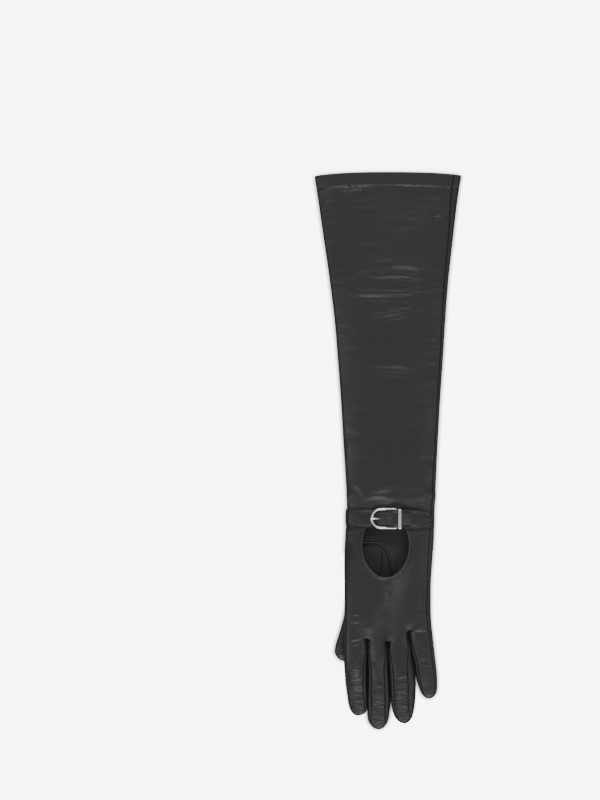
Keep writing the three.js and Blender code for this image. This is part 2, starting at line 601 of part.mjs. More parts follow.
// The thumb: an open trough whose rim follows the opening in the palm, then a closed tube to the tip. Each row runs
// from the left rim, or the seam on the tube's top, down the left side, under the tube and up the right side.
function thumb() {
  const openEnd = OPENING.y - OPENING.halfLength;
  const tipStart = THUMB_TIP.y + TIP_LENGTH;
  const rimLength = OPENING.halfLength - 0.8;
  const ys = [];
  for (let i = 0; i <= THUMB_ROWS; i++) ys.push(OPENING.y + rimLength * Math.cos((i / THUMB_ROWS) * Math.PI * 0.985));
  for (let i = 1; i <= 3; i++) ys.push(lerp(ys[THUMB_ROWS], tipStart, i / 3));
  for (let i = 1; i <= TIP_ROWS; i++) ys.push(tipStart - TIP_LENGTH * Math.sin((i / TIP_ROWS) * TIP_ARC));
  const quarter = THUMB_COLUMNS / 4;
  const points = [];
  const rimPoint = (section, side, share) => {
    const across = Math.sqrt(Math.max(0, 1 - ((section.y - OPENING.y) / OPENING.halfLength) ** 2));
    const x = OPENING.x + side * OPENING.halfWidth * across;
    const rim = new THREE.Vector3(x, section.y, Math.max(0.02, lift(x, section.y) - FIT_GAP - WALL - 0.1));
    const point = rim.lerp(thumbSkin(section, side < 0 ? 0 : Math.PI), share);
    const top = thumbSkin(section, thumbTurn(section, point.x)).z;
    if (Math.abs(point.x - section.x) < section.half) point.z = Math.max(point.z, top - WALL * (1 - share) ** 2);
    return point;
  };
  const rows = ys.map((y) => {
    const section = thumbSection(y);
    const open = y > openEnd;
    const seam = lerp(thumbTurn(section, OPENING.x), Math.PI / 2, smoothstep(openEnd - y, 0, openEnd - tipStart));
    const row = [];
    for (let j = 0; j <= THUMB_COLUMNS; j++) {
      const left = j < quarter;
      const share = left ? j / quarter : (THUMB_COLUMNS - j) / quarter;
      if (!open && j === THUMB_COLUMNS) row.push(row[0]);
      else if (j >= quarter && j <= 3 * quarter)
        row.push(points.push(thumbSkin(section, Math.PI / 2 - (j / THUMB_COLUMNS) * 2 * Math.PI)) - 1);
      else if (open) row.push(points.push(rimPoint(section, left ? -1 : 1, share)) - 1);
      else row.push(points.push(thumbSkin(section, left ? lerp(seam, 0, share) : lerp(seam, Math.PI, share))) - 1);
    }
    return row;
  });
  const quads = [];
  for (let i = 0; i + 1 < rows.length; i++)
    for (let j = 0; j < THUMB_COLUMNS; j++) quads.push([rows[i][j], rows[i][j + 1], rows[i + 1][j + 1], rows[i + 1][j]]);
  const end = rows[rows.length - 1];
  const opposite = (j) => end[(THUMB_COLUMNS - j) % THUMB_COLUMNS];
  quads.push([end[0], end[1], opposite(1)], [end[2 * quarter], opposite(2 * quarter - 1), end[2 * quarter - 1]]);
  for (let j = 1; j + 1 < 2 * quarter; j++) quads.push([end[j], end[j + 1], opposite(j + 1), opposite(j)]);
  return wall(points, quads, () => WALL);
}

// Top of the leather under the strap.
const deck = (x) => {
  const section = bodySection(STRAP.y);
  return skin(section, turnOver(section, clamp(x, section.left + 0.01, section.right - 0.01))).z;
};

// A strap: a ribbon along a path of {x, z, half} rows on its upper side.
function ribbon(path, thickness) {
  const shares = [-1, 0, 1];
  const points = path.flatMap(({ x, z, half, at }) =>
    shares.map((share) => (at ? at(STRAP.y + share * half) : new THREE.Vector3(x, STRAP.y + share * half, z))),
  );
  const quads = [];
  const across = shares.length;
  for (let i = 0; i + 1 < path.length; i++)
    for (let j = 0; j + 1 < across; j++)
      quads.push([i * across + j, (i + 1) * across + j, (i + 1) * across + j + 1, i * across + j + 1]);
  return wall(points, quads, () => thickness);
}

// The long strap: sewn in under the thumb-side edge, over the hand, through the buckle and keeper to its point.
function longStrap() {
  const section = bodySection(STRAP.y);
  const path = [];
  const out = FIT_GAP + 0.1 + STRAP.thickness;
  for (let turn = radialSeam(section) * 0.4; turn < turnOver(section, -32); turn += 0.1) {
    const at = (y) => {
      const point = skinWithOut(bodySection, y, turn);
      return point.addScaledVector(point.out, out);
    };
    path.push({ at, half: STRAP.half });
  }
  const tipX = LONG_RISE[LONG_RISE.length - 1].x;
  for (let x = -29.5; x < tipX - STRAP.pointLength; x += 2.4)
    path.push({ x, z: deck(x) + riseAt(LONG_RISE, x) + STRAP.thickness, half: STRAP.half });
  for (let i = 0; i <= 8; i++) {
    const x = tipX - STRAP.pointLength * (1 - i / 8);
    const half = STRAP.half * Math.max(0.06, 1 - (i / 8) ** 1.7);
    path.push({ x, z: deck(x) + riseAt(LONG_RISE, x) + STRAP.thickness, half });
  }
  const slotMiddle = (SLOT.from + SLOT.to) / 2;
  const slot = new THREE.BoxGeometry(SLOT.to - SLOT.from, 2 * SLOT.half, 30).translate(slotMiddle, STRAP.y, 12);
  const hole = new THREE.CylinderGeometry(SPARE_HOLE.radius, SPARE_HOLE.radius, 30, WIRE_SIDES)
    .rotateX(Math.PI / 2)
    .translate(SPARE_HOLE.x, STRAP.y, 12);
  return geometryOf(solid(ribbon(path, STRAP.thickness)).subtract(solid(slot)).subtract(solid(hole)));
}

// The short strap: sewn in at the side seam, folded round the buckle's bar and stitched back on itself.
function shortStrap() {
  const path = [];
  const { thickness, half } = SHORT_STRAP;
  const barZ = deck(BUCKLE.barX) + BUCKLE.rise;
  const loop = BUCKLE.wire + 0.2;
  const start = SHORT_RISE[0].x;
  for (let x = SHORT_RETURN; x > BUCKLE.barX + 0.5; x -= 1.8) {
    const settled = smoothstep(x, BUCKLE.barX, SHORT_RETURN);
    path.push({ x, z: lerp(barZ + loop + thickness, deck(x) + riseAt(SHORT_RISE, x) + 2 * thickness + FIT_GAP, settled), half });
  }
  for (let i = 0; i <= 8; i++) {
    const turn = Math.PI / 2 + (i / 8) * Math.PI;
    path.push({
      x: BUCKLE.barX + (loop + thickness) * Math.cos(turn),
      z: barZ + (loop + thickness) * Math.sin(turn),
      half,
    });
  }
  const under = SHORT_RISE[SHORT_RISE.length - 1].x;
  for (let x = under; x <= start; x += 2.2) path.push({ x, z: deck(x) + riseAt(SHORT_RISE, x), half });
  const strip = ribbon(path.reverse(), thickness);
  const slot = new THREE.BoxGeometry(8.6, 2 * PRONG.slotHalf, 12).translate(BUCKLE.barX - 1.6, STRAP.y, barZ);
  return geometryOf(solid(strip).subtract(solid(slot)));
}

// A round wire along a path, as a ring of sections. A closed path joins up; an open one has flat ends.
function wire(path, radius, closed) {
  const up = new THREE.Vector3(0, 0, 1);
  const points = [];
  const count = path.length;
  path.forEach((at, i) => {
    const before = path[closed ? (i + count - 1) % count : Math.max(i - 1, 0)];
    const after = path[closed ? (i + 1) % count : Math.min(i + 1, count - 1)];
    const along = after.clone().sub(before).normalize();
    const side = new THREE.Vector3().crossVectors(up, along).normalize();
    const over = new THREE.Vector3().crossVectors(along, side);
    for (let k = 0; k < WIRE_SIDES; k++) {
      const turn = (k / WIRE_SIDES) * 2 * Math.PI;
      points.push(at.clone().addScaledVector(side, radius * Math.cos(turn)).addScaledVector(over, radius * Math.sin(turn)));
    }
  });
  const faces = [];
  for (let i = 0; i < (closed ? count : count - 1); i++)
    for (let k = 0; k < WIRE_SIDES; k++) {
      const next = (k + 1) % WIRE_SIDES;
      const a = i * WIRE_SIDES;
      const b = ((i + 1) % count) * WIRE_SIDES;
      faces.push([a + k, a + next, b + next, b + k]);
    }
  if (!closed)
    for (let k = 1; k + 2 < WIRE_SIDES; k += 2) {
      const end = (count - 1) * WIRE_SIDES;
      faces.push([0, k + 2, k + 1, k], [end, end + k, end + k + 1, end + k + 2]);
    }
  return quadGeometry(points, faces);
}

// Horseshoe frame: a half round curve, two straight arms and the bar that the strap folds round.
function buckleFrame() {
  const { barX, curveX, half, wire: radius, rise } = BUCKLE;
  const z = deck(barX) + rise;
  const corner = 1.6;
  const path = [];
  const put = (x, y) => path.push(new THREE.Vector3(x, STRAP.y + y, z));
  for (let i = 0; i <= 14; i++) {
    const turn = Math.PI / 2 + (i / 14) * Math.PI;
    put(curveX + half + half * Math.cos(turn), half * Math.sin(turn));
  }
  put(0, -half);
  for (let i = 0; i <= 3; i++) {
    const turn = -Math.PI / 2 + (i / 3) * (Math.PI / 2);
    put(barX - corner + corner * Math.cos(turn), -half + corner + corner * Math.sin(turn));
  }
  put(barX, -3);
  put(barX, 3);
  for (let i = 0; i <= 3; i++) {
    const turn = (i / 3) * (Math.PI / 2);
    put(barX - corner + corner * Math.cos(turn), half - corner + corner * Math.sin(turn));
  }
  put(0, half);
  return wire(path, radius, true);
}

// The prong: an eye round the bar and a bent stem up through the strap to the frame's curve.
function buckleProng() {
  const barZ = deck(BUCKLE.barX) + BUCKLE.rise;
  const eye = new THREE.TorusGeometry(BUCKLE.wire + 0.25 + PRONG.wire, PRONG.wire, 7, 14)
    .rotateX(Math.PI / 2)
    .translate(BUCKLE.barX, STRAP.y, barZ);
  const base = deck(BUCKLE.barX);
  const curve = new THREE.CatmullRomCurve3(PRONG_PATH.map(({ x, rise }) => new THREE.Vector3(x, STRAP.y, base + rise)));
  const stem = wire(curve.getSpacedPoints(13), PRONG.wire, false);
  return geometryOf(solid(eye).add(solid(stem)));
}

// The keeper: a flat metal band closed round both straps beside the bar.
function keeper() {
  const { x, width, half, band, top } = KEEPER;
  const low = deck(x) + FIT_GAP;
  const high = deck(x) + top;
  const bevel = 0.25;
  const box = (inset) => {
    const path = inset ? new THREE.Path() : new THREE.Shape();
    const [w, lo, hi, r] = [half - inset, low + inset, high - inset, 1.4 - inset * 0.8];
    path.moveTo(-w + r, lo).lineTo(w - r, lo).quadraticCurveTo(w, lo, w, lo + r).lineTo(w, hi - r);
    path.quadraticCurveTo(w, hi, w - r, hi).lineTo(-w + r, hi).quadraticCurveTo(-w, hi, -w, hi - r);
    path.lineTo(-w, lo + r).quadraticCurveTo(-w, lo, -w + r, lo);
    return path;
  };
  const shape = box(0);
  shape.holes.push(box(band));
  const geometry = new THREE.ExtrudeGeometry(shape, {
    depth: width - 2 * bevel,
    bevelThickness: bevel,
    bevelSize: bevel,
    bevelOffset: -bevel,
    bevelSegments: 1,
    curveSegments: 4,
  });
  return geometry.rotateX(Math.PI / 2).rotateZ(Math.PI / 2).translate(x + bevel, STRAP.y, 0);
}

// Materials, from the photograph: near-black glove leather and polished silver-coloured metal.
const leather = (name) => new THREE.MeshStandardMaterial({ name, color: 0x363636, roughness: 0.5, metalness: 0 });
const metal = (name) => new THREE.MeshStandardMaterial({ name, color: 0xd6d2cd, roughness: 0.22, metalness: 1 });

function piece(name, geometry, material) {
  const mesh = new THREE.Mesh(geometry, material);
  mesh.name = name;
  return mesh;
}

const gloveLeather = leather("glove_leather");
const strapLeather = leather("strap_leather");
const silver = metal("buckle_metal");

const hand = new THREE.Group();
hand.add(piece("back_panel", backPanel(), gloveLeather));
hand.add(piece("palm_panel", palmPanel(), gloveLeather));
hand.add(piece("thumb", thumb(), gloveLeather));
FORKS.forEach((_, index) => {
  const name = `fourchette_${FINGERS[index].name}_${FINGERS[index + 1].name}`;
  hand.add(piece(name, forkStrip(index), gloveLeather));
});

const fastening = new THREE.Group();
fastening.add(piece("strap_long", longStrap(), strapLeather));
fastening.add(piece("strap_short", shortStrap(), strapLeather));
fastening.add(piece("buckle_frame", buckleFrame(), silver));
fastening.add(piece("buckle_prong", buckleProng(), silver));
fastening.add(piece("strap_keeper", keeper(), silver));

const glove = new THREE.Group();
glove.add(hand, fastening);

export default glove;
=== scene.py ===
import math
import random

import bpy
import numpy as np
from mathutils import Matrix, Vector, kdtree
from mathutils.bvhtree import BVHTree


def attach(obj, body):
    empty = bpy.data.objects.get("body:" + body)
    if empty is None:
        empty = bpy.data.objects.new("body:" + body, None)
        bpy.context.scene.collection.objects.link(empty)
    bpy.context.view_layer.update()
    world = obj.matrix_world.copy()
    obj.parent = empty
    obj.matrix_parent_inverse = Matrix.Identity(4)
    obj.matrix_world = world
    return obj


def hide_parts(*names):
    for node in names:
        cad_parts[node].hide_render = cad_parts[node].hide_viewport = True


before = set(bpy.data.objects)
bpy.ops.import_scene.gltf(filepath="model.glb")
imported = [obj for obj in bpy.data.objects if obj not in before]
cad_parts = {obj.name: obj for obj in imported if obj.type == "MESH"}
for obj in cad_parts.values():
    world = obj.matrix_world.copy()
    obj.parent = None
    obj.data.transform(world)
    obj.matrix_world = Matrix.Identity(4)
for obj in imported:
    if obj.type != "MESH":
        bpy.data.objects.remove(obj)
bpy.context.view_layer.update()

MM = 0.001


def table(columns, *rows):
    """A table with named columns, as arrays."""
    return dict(zip(columns.split(), np.array(rows, float).T))


# The form, as the frame's leather is cut: sections of the arm and hand, from the hem to the forks.
BODY = table(
    "y left right height edge crown seam",
    (256.5, -67.8, 67.8, 14.0, 2.8, 2.0, 7.0),
    (240.0, -65.2, 65.0, 13.0, 2.6, 2.2, 6.4),
    (194.0, -58.7, 59.7, 13.5, 2.6, 2.2, 4.2),
    (157.0, -53.5, 55.7, 14.0, 2.6, 2.2, 3.4),
    (120.0, -49.0, 52.9, 14.0, 2.6, 2.2, 3.0),
    (83.0, -45.9, 50.6, 13.5, 2.6, 2.2, 2.6),
    (47.0, -43.2, 48.1, 13.5, 2.6, 2.3, 2.3),
    (10.0, -41.0, 46.0, 13.0, 2.6, 2.4, 2.2),
    (-27.0, -38.7, 44.3, 12.5, 2.7, 2.6, 2.8),
    (-51.0, -37.8, 43.2, 12.0, 2.8, 2.8, 3.1),
    (-82.0, -39.5, 42.3, 12.0, 3.0, 3.0, 4.4),
    (-101.0, -40.5, 40.9, 12.5, 3.2, 3.2, 4.0),
    (-119.0, -40.4, 39.7, 12.5, 3.4, 3.6, 3.5),
    (-137.0, -40.3, 39.4, 12.2, 3.8, 4.2, 3.7),
    (-156.0, -40.6, 39.8, 11.6, 4.2, 5.0, 3.8),
    (-176.0, -40.8, 42.1, 11.0, 4.4, 6.0, 3.2),
)
HEM_Y = BODY["y"][0]
HEM_DEPTH = 11.5
HEM_BOW = {"left": 3.0, "right": 2.3}  # how far its corners lie back from its middle
HEM_BOW_FROM = 150  # the bow fades out below here
HEM_BOW_POWER = 3.2
HEM_FOLD = 1.1  # radius of the fold at its very edge
HEM_THREAD = 0.28  # radius of its stitches
HEM_PITCH = 3.1  # and their spacing
RADIAL_SEAM_SHARE = 0.6
SEAM_GAP = 0.04  # between two pieces at a seam
SEAM_ROLL = 1.3  # how far from its edge a piece starts to turn in at a seam
SEAM_SINKS = 1.0
SEAM_PITCH = 3.4
WALL = 1.0  # glove leather, one thickness
ON_TABLE = 0.01  # lowest that leather goes

SIDES = ("left", "right")


def finger_table(name, raised, tip, tip_across, tip_lengths, share, *rows):
    """raised lifts its tip; share is how far in each side's seam lies, of half the finger's width."""
    return {
        "name": name,
        "raised": raised,
        "rows": table("y left right height", *rows),
        "tip": tip,
        "tip_across": tip_across,
        "tip_lengths": dict(zip(SIDES, tip_lengths)),
        "share": dict(zip(SIDES, share)),
    }


FINGERS = [
    finger_table(
        "index", 1.8, -243.6, 0.5, (11, 6), (0, 0.3),
        (-171.4, -40.8, -19.45, 11.0),
        (-192.6, -40.8, -19.35, 10.4),
        (-211.0, -39.4, -19.35, 10.0),
        (-225.7, -37.5, -19.4, 9.4),
        (-236.0, -36.0, -19.5, 8.6),
    ),
    finger_table(
        "middle", 0.0, -256.5, 0.52, (13, 15), (0.33, 0.44),
        (-174.2, -19.5, -0.4, 11.0),
        (-196.2, -19.55, 0.65, 10.6),
        (-214.6, -19.55, 1.75, 10.4),
        (-231.0, -19.5, 2.4, 9.8),
        (-244.1, -19.0, 1.2, 9.0),
    ),
    finger_table(
        "ring", 2.0, -250.8, 0.56, (15, 13.5), (0.27, 0.6),
        (-172.3, -0.5, 19.0, 11.0),
        (-188.9, 0.15, 22.5, 10.6),
        (-203.6, 0.95, 24.9, 10.4),
        (-218.3, 1.8, 25.7, 10.0),
        (-231.0, 2.6, 25.0, 9.4),
        (-240.4, 4.0, 23.7, 8.8),
    ),
    finger_table(
        "little", 0.0, -228.1, 0.55, (14, 9.5), (0.32, 0.28),
        (-165.0, 18.6, 40.8, 11.0),
        (-181.5, 20.9, 42.5, 10.4),
        (-196.2, 23.6, 44.2, 10.0),
        (-209.5, 25.9, 45.4, 9.2),
        (-218.3, 28.4, 45.3, 8.6),
    ),
]
FINGER_EDGE = 3.5  # radius of a finger's rounded sides
FINGER_CROWN = 2.2
RAISED_OVER = (4, 34)  # a finger's lift grows between these distances from its fork
TIP_LENGTH = 12.2
TIP_FLATTENS = 0.5
TIP_RISES = 0.4
SEAM_OPENS = 30  # length over which the seams part behind a fork
SEAM_CLOSED = 0.02  # how far apart they are there, as a share
STRIP_END = 3.6  # how far before a fingertip a side strip ends
STRIP_CLOSES = 16
CROTCH_DROP = 1.8

FORKS = table("x y", (-19.4, -171.4), (-0.5, -174.6), (18.8, -164.5))
PALM_FORK_SHIFT = -12.5
FORK_DIMPLE = 1.0
DIMPLE_SPREAD = 4
HAND_END = {"left": (-37, -171.4), "right": (35, -160.5)}
FAN_FROM = -132
FINGER_GROWS = 16  # length over which a finger takes its own shape from the hand's
FORK_BLENDS = 6  # and how far from a fork that starts

THUMB = table(
    "y x half height",
    (-83.4, -16.0, 4.0, 1.6),
    (-90.0, -16.6, 10.5, 2.4),
    (-100.0, -18.2, 14.2, 4.0),
    (-112.0, -20.6, 15.0, 5.8),
    (-124.0, -22.6, 14.4, 7.2),
    (-138.0, -25.2, 13.2, 8.0),
    (-152.0, -28.0, 12.6, 8.2),
    (-166.0, -31.9, 12.5, 8.2),
    (-180.0, -36.5, 12.1, 7.8),
    (-193.4, -39.6, 10.2, 7.0),
)
THUMB_TIP = THUMB["y"][-1]
THUMB_EDGE = 3.9
THUMB_CROWN = 2.4
OPENING = {"x": -16.7, "y": -117.4, "half_width": 21.5, "half_length": 35.2, "power": 2.7}
LIFT_SPREAD = 19
BACK_SPREAD = 30  # the back's leather bridges softly over the thumb below it
LIFT_GAP = 0.3
KEYHOLE = {"x": -2.5, "y": -86.2, "half_width": 21.5, "half_length": 29.0, "power": 2}

FOLD_COLUMNS = "x y turn length width rise"
BACK_FOLDS = table(
    FOLD_COLUMNS,
    (5, 154, 2, 104, 26, 1.1),
    (24, 202, 22, 44, 22, 0.8),
    (8, 66, -3, 80, 24, 0.8),
    (-28, 6, 12, 36, 20, 0.8),
    (-14, -34, -25, 50, 16, 1.0),
    (34, -27, 70, 40, 16, 0.8),
    (-4, -130, 84, 50, 14, 0.8),
)
PALM_FOLDS = table(
    FOLD_COLUMNS,
    (0, 176, -14, 84, 10, 0.9),
    (10, 120, -6, 66, 9, 0.7),
    (16, -152, 3, 44, 8, 0.8),
)
PALM_FOLD_REACH = 0.55

# Creases in the back's leather: a sharp ridge with a hollow on its wrist side, bowed by bow at its
# middle.
CREASE_COLUMNS = FOLD_COLUMNS + " bow"
CREASES = table(
    CREASE_COLUMNS,
    (15.2, 163.3, -4, 50, 2.2, 0.55, 2.2),
    (-31.7, 160.9, 1, 40, 3.0, 0.3, 0.5),
    (-8.0, 146.2, -1, 82, 2.6, 0.6, -1.6),
    (24.0, 147.0, 9, 36, 2.0, 0.35, 0.0),
    (4.0, 126.0, 11, 64, 2.2, 0.5, 0.6),
    (-4.0, 171.6, 2, 36, 2.4, 0.3, 1.0),
    (1.4, 74.0, -5, 68, 2.0, 0.5, 0.8),
    (32.7, 81.0, 0, 30, 1.8, 0.35, 0.5),
    (-24.4, 41.0, 2, 22, 2.6, 0.25, 0.0),
    (-25.3, -36.3, -50, 18, 2.6, 0.4, 0.8),
    (-9.7, -41.0, 3, 26, 2.4, 0.35, 0.6),
    (48.3, 214.8, 25, 13, 1.6, 0.4, 0.0),
    (43.7, 229.0, 17, 20, 1.8, 0.4, 0.5),
    (-58.0, 239.2, 32, 9, 1.8, 0.8, 0.4),
    (-54.0, 235.2, 8, 9, 1.6, 0.8, 0.6),
    (-57.5, 233.6, -12, 8, 1.4, 0.4, 0.0),
    (-54.7, 227.7, 2, 13, 1.3, 0.4, 0.3),
    (-54.3, 218.5, 1, 14, 1.2, 0.35, 0.2),
    (-51.5, 212.0, -3, 12, 1.6, 0.35, 0.0),
    (-36.0, 236.5, 8, 22, 1.8, 0.35, 0.4),
    (38.0, 103.0, 6, 24, 1.8, 0.25, 0.4),
    (-30.0, 96.0, -4, 26, 2.2, 0.2, 0.4),
    (-20.0, 186.0, -3, 40, 2.6, 0.22, 0.6),
    (14.0, 193.0, 6, 44, 2.6, 0.22, -0.6),
    (20.0, 26.0, 3, 30, 3.0, 0.2, 0.5),
    (-32.0, -150.0, 12, 13, 1.5, 0.3, 0.4),
    (-31.5, -156.5, 8, 13, 1.4, 0.3, 0.3),
    (-31.0, -172.5, 14, 15, 1.5, 0.4, 0.6),
    (-30.0, -176.5, 16, 12, 1.3, 0.3, 0.4),
    (29.0, -163.5, 0, 17, 1.6, 0.45, -0.4),
    (32.0, -150.0, 12, 13, 1.5, 0.28, 0.3),
    (31.0, -143.5, 9, 12, 1.4, 0.22, 0.3),
    (-2.0, -124.5, 1, 18, 1.8, 0.35, 1.4),
    (1.0, -129.0, -38, 10, 1.6, 0.3, 0.3),
    (-29.5, -235.5, -3, 12, 1.8, 0.5, 0.8),
    (-30.5, -214.0, 5, 12, 1.3, 0.3, 0.6),
    (13.5, -207.5, 4, 16, 1.6, 0.4, 0.7),
    (-9.0, -217.0, 6, 12, 1.4, 0.3, 0.6),
)
# Broad soft patches where the leather stands a little proud.
SWELLS = table(
    FOLD_COLUMNS,
    (-17, -150, 80, 34, 12, 0.9),
    (22, -144, 92, 40, 13, 0.7),
    (-29, -206, 90, 50, 9, 0.5),
    (-12, -205, 90, 60, 6, 0.5),
    (9, -205, 88, 56, 7, 0.5),
    (35, -196, 78, 44, 9, 0.7),
    (34, -32, 84, 26, 9, 0.5),
    (-26, 4, 10, 26, 12, 0.35),
    (34, 50, 20, 16, 8, 0.3),
    (-31, 22, 0, 18, 8, 0.25),
    (2, -20, 4, 60, 16, 0.4),
)
# Stretches where the leather is eased into the hem and stands up behind its stitches: middle and
# half length.
HEM_FULLNESS = [(-34, 13), (34, 21), (-58, 4)]
CREASE_SHARE = 1.8  # by which all creases are raised so that they show
FINE_CREASES = {
    "count": 70,
    "seed": 11,
    "y": (-44, 242),
    "length": (12, 42),
    "width": (1.4, 3.0),
    "rise": (0.05, 0.16),
    "tilt": 14,
}

# Where the leather is finely wrinkled: at the finger joints, the knuckles and behind the hem.
WRINKLE_COLUMNS = "x y half_width half_length share"
WRINKLED = table(
    WRINKLE_COLUMNS,
    (-29, -211, 10, 30, 0.8),
    (-8, -236, 10, 22, 0.8),
    (13.5, -230, 11, 22, 0.8),
    (14, -205, 9, 8, 0.5),
    (37, -190, 9, 14, 0.4),
    (38, -163, 9, 10, 0.5),
    (-31, -160, 11, 12, 0.4),
    (-35, 241.5, 15, 4.5, 1.0),
    (-58, 236, 8, 14, 0.7),
    (44, 222, 14, 14, 0.35),
    (20, 140, 50, 34, 0.2),
)

# Wrist strap and buckle
STRAP = {
    "y": -61.5,
    "half": 8.1,
    "thickness": 1.2,
    "point": 20,
    "tip": 42.9,
    "edge_stitch": 1.5,
    "sinks": 0.8,
    "drift": -1.7,
}
SHORT_STRAP = {"thickness": 0.9, "half": 7.7, "return": 16.6, "start": 39.0, "drift": -1.9}
BUCKLE = {
    "bar": 7.6,
    "curve": -15.3,
    "half": 8.65,
    "arm_end": 7.2,
    "wire": 1.1,
    "flat": 0.8,
    "rise": 3.0,
    "drift": -0.1,
    "loop": 0.2,
}
PRONG = {"wire": 0.9, "slot_half": 1.4}
KEEPER = {"x": 8.9, "width": 2.6, "half": 9.3, "band": 0.9, "top": 7.7, "corner": 1.3, "drift": -0.45}
# Height of each strap's underside over the leather below it. The first column is x; column() reads
# it under the name y, as in the tables above.
LONG_RISE = table(
    "y rise",
    (42.9, 1.6),
    (26, 1.6),
    (20, 2.0),
    (13, 4.5),
    (9, 5.3),
    (5, 5.15),
    (1, 4.0),
    (-4.5, 1.9),
    (-9, 0.6),
    (-14, 0.35),
    (-40, 0.3),
)
SHORT_RISE = table("y rise", (39, 0.35), (19, 0.4), (13.4, 1.75), (9.6, 1.6))
PRONG_PATH = table(
    "x rise",
    (5.6, 2.7),
    (2.5, 2.3),
    (-1.5, 1.5),
    (-5, 1.0),
    (-7.8, 1.6),
    (-9.8, 3.9),
    (-12.5, 5.0),
    (-16.4, 5.3),
)
PRONG_HOLE = {"x": -9.0, "half_length": 1.6, "half": 1.15}
SPARE_HOLE = {"x": -1.7, "radius": 0.9}

STRAP_WRINKLED = table(
    WRINKLE_COLUMNS, (-3, -61.8, 10, 9, 0.6), (-12, -61.8, 4, 9, 0.4), (34, -62, 10, 9, 0.2)
)

# How finely the leather is divided
BACK_LANE = 26
PALM_LANE = 18
SLEEVE_STEP = 1.9
HAND_FROM = -40
HAND_STEP = 1.5
FAN_ROWS = 24
FINGER_ROWS = 44
TIP_ROWS = 14
TIP_ARC = 1.54
RING_DIVISIONS = 180
LANE_CROWDS = 0.13  # how much closer the columns lie at the edges of a lane
STRIP_CROWDS = 0.12


def smooth(value, low, high):
    """0 below low, 1 above high, eased between."""
    share = np.clip((value - low) / (high - low), 0, 1)
    return share * share * (3 - 2 * share)


def mix(a, b, share):
    return a + (b - a) * share


def column(rows, name, y):
    """A table's column at y, by a smooth curve through its rows, which run towards -y."""
    ys, values = rows["y"], rows[name]
    last = len(ys) - 1
    y = np.clip(y, ys[last], ys[0])
    n = np.clip(np.searchsorted(-ys, -y, side="right") - 1, 0, last - 1)
    before, after = np.maximum(np.arange(last + 1) - 1, 0), np.minimum(np.arange(last + 1) + 1, last)
    slopes = (values[after] - values[before]) / (ys[after] - ys[before])
    span = ys[n + 1] - ys[n]
    u = (y - ys[n]) / span
    ease = u * u * (3 - 2 * u)
    curve = slopes[n] * u * (1 - u) ** 2 - slopes[n + 1] * u * u * (1 - u)
    return mix(values[n], values[n + 1], ease) + span * curve


def body_section(y):
    names = ("left", "right", "height", "edge", "crown", "seam")
    return {name: column(BODY, name, y) for name in names} | {"y": y, "base": 0.0 * y}


def finger_section(finger, y):
    """A finger's section, whose outline rounds off over the last stretch to the tip."""
    rows = finger["rows"]
    ends = {}
    for side in ("left", "right"):
        length = finger["tip_lengths"][side]
        ends[side] = np.sqrt(1 - np.clip((finger["tip"] + length - y) / length, 0, 1) ** 2)
    left, right = column(rows, "left", y), column(rows, "right", y)
    middle = mix(left, right, finger["tip_across"])
    left, right = mix(middle, left, ends["left"]), mix(middle, right, ends["right"])
    half = (right - left) / 2
    full = column(rows, "height", y)
    height = full * tip_rounding(y, finger["tip"]) ** TIP_FLATTENS
    return {
        "left": left,
        "right": right,
        "height": height,
        "edge": soft_edge(half, height, FINGER_EDGE),
        "crown": FINGER_CROWN,
        "base": (full - height) * TIP_RISES + finger["raised"] * smooth(rows["y"][0] - y, *RAISED_OVER),
        "y": y,
    }


def lift(x, y, spread=LIFT_SPREAD):
    """How far the hand is held off the surface by the thumb folded under it."""
    near = np.clip(y, THUMB_TIP, THUMB["y"][0])
    aside = np.maximum(0, np.abs(x - column(THUMB, "x", near)) - column(THUMB, "half", near))
    gap = np.hypot(y - near, aside)
    wrist = -THUMB["y"][0]
    starts = smooth(-y, wrist - 15, wrist - 3)
    return (column(THUMB, "height", near) + LIFT_GAP) * (1 - smooth(gap, 0.6, spread)) * starts


def turned(x, y, centre_x, centre_y, degrees):
    """Distances along and across a line through a centre."""
    c, s = math.cos(math.radians(degrees)), math.sin(math.radians(degrees))
    return (x - centre_x) * c + (y - centre_y) * s, (y - centre_y) * c - (x - centre_x) * s


def fold_rise(folds, x, y):
    rise = 0
    for fx, fy, turn, length, width, height in zip(*(folds[name] for name in FOLD_COLUMNS.split())):
        along, across = turned(x, y, fx, fy, turn)
        ends = 1 - smooth(np.abs(along), length / 4, length / 2)
        rise = rise + height * ends * np.exp(-((across / (width / 2)) ** 2))
    return rise


def hem_bow(y, across):
    """How far the hem has bowed back at a share of its half width."""
    across = np.clip(across, -1, 1)
    most = np.where(across < 0, HEM_BOW["left"], HEM_BOW["right"])
    return most * smooth(y, HEM_BOW_FROM, HEM_Y) * np.abs(across) ** HEM_BOW_POWER


def fork_dimple(x, y, shift):
    dimple = 0
    for fx, fy in zip(FORKS["x"], FORKS["y"]):
        dimple = dimple + FORK_DIMPLE * np.exp(-((np.hypot(x - fx, y - fy - shift) / DIMPLE_SPREAD) ** 2))
    return dimple


def tip_rounding(y, tip):
    """1 along a finger or the thumb, falling to 0 at its tip."""
    into = np.clip((tip + TIP_LENGTH - y) / TIP_LENGTH, 0, 1)
    return np.sqrt(1 - into * into)


def soft_edge(half, height, edge):
    """The radius of a section's sides, less where the section is small."""
    return np.minimum(edge, np.minimum(half * 0.95, height * 0.48))


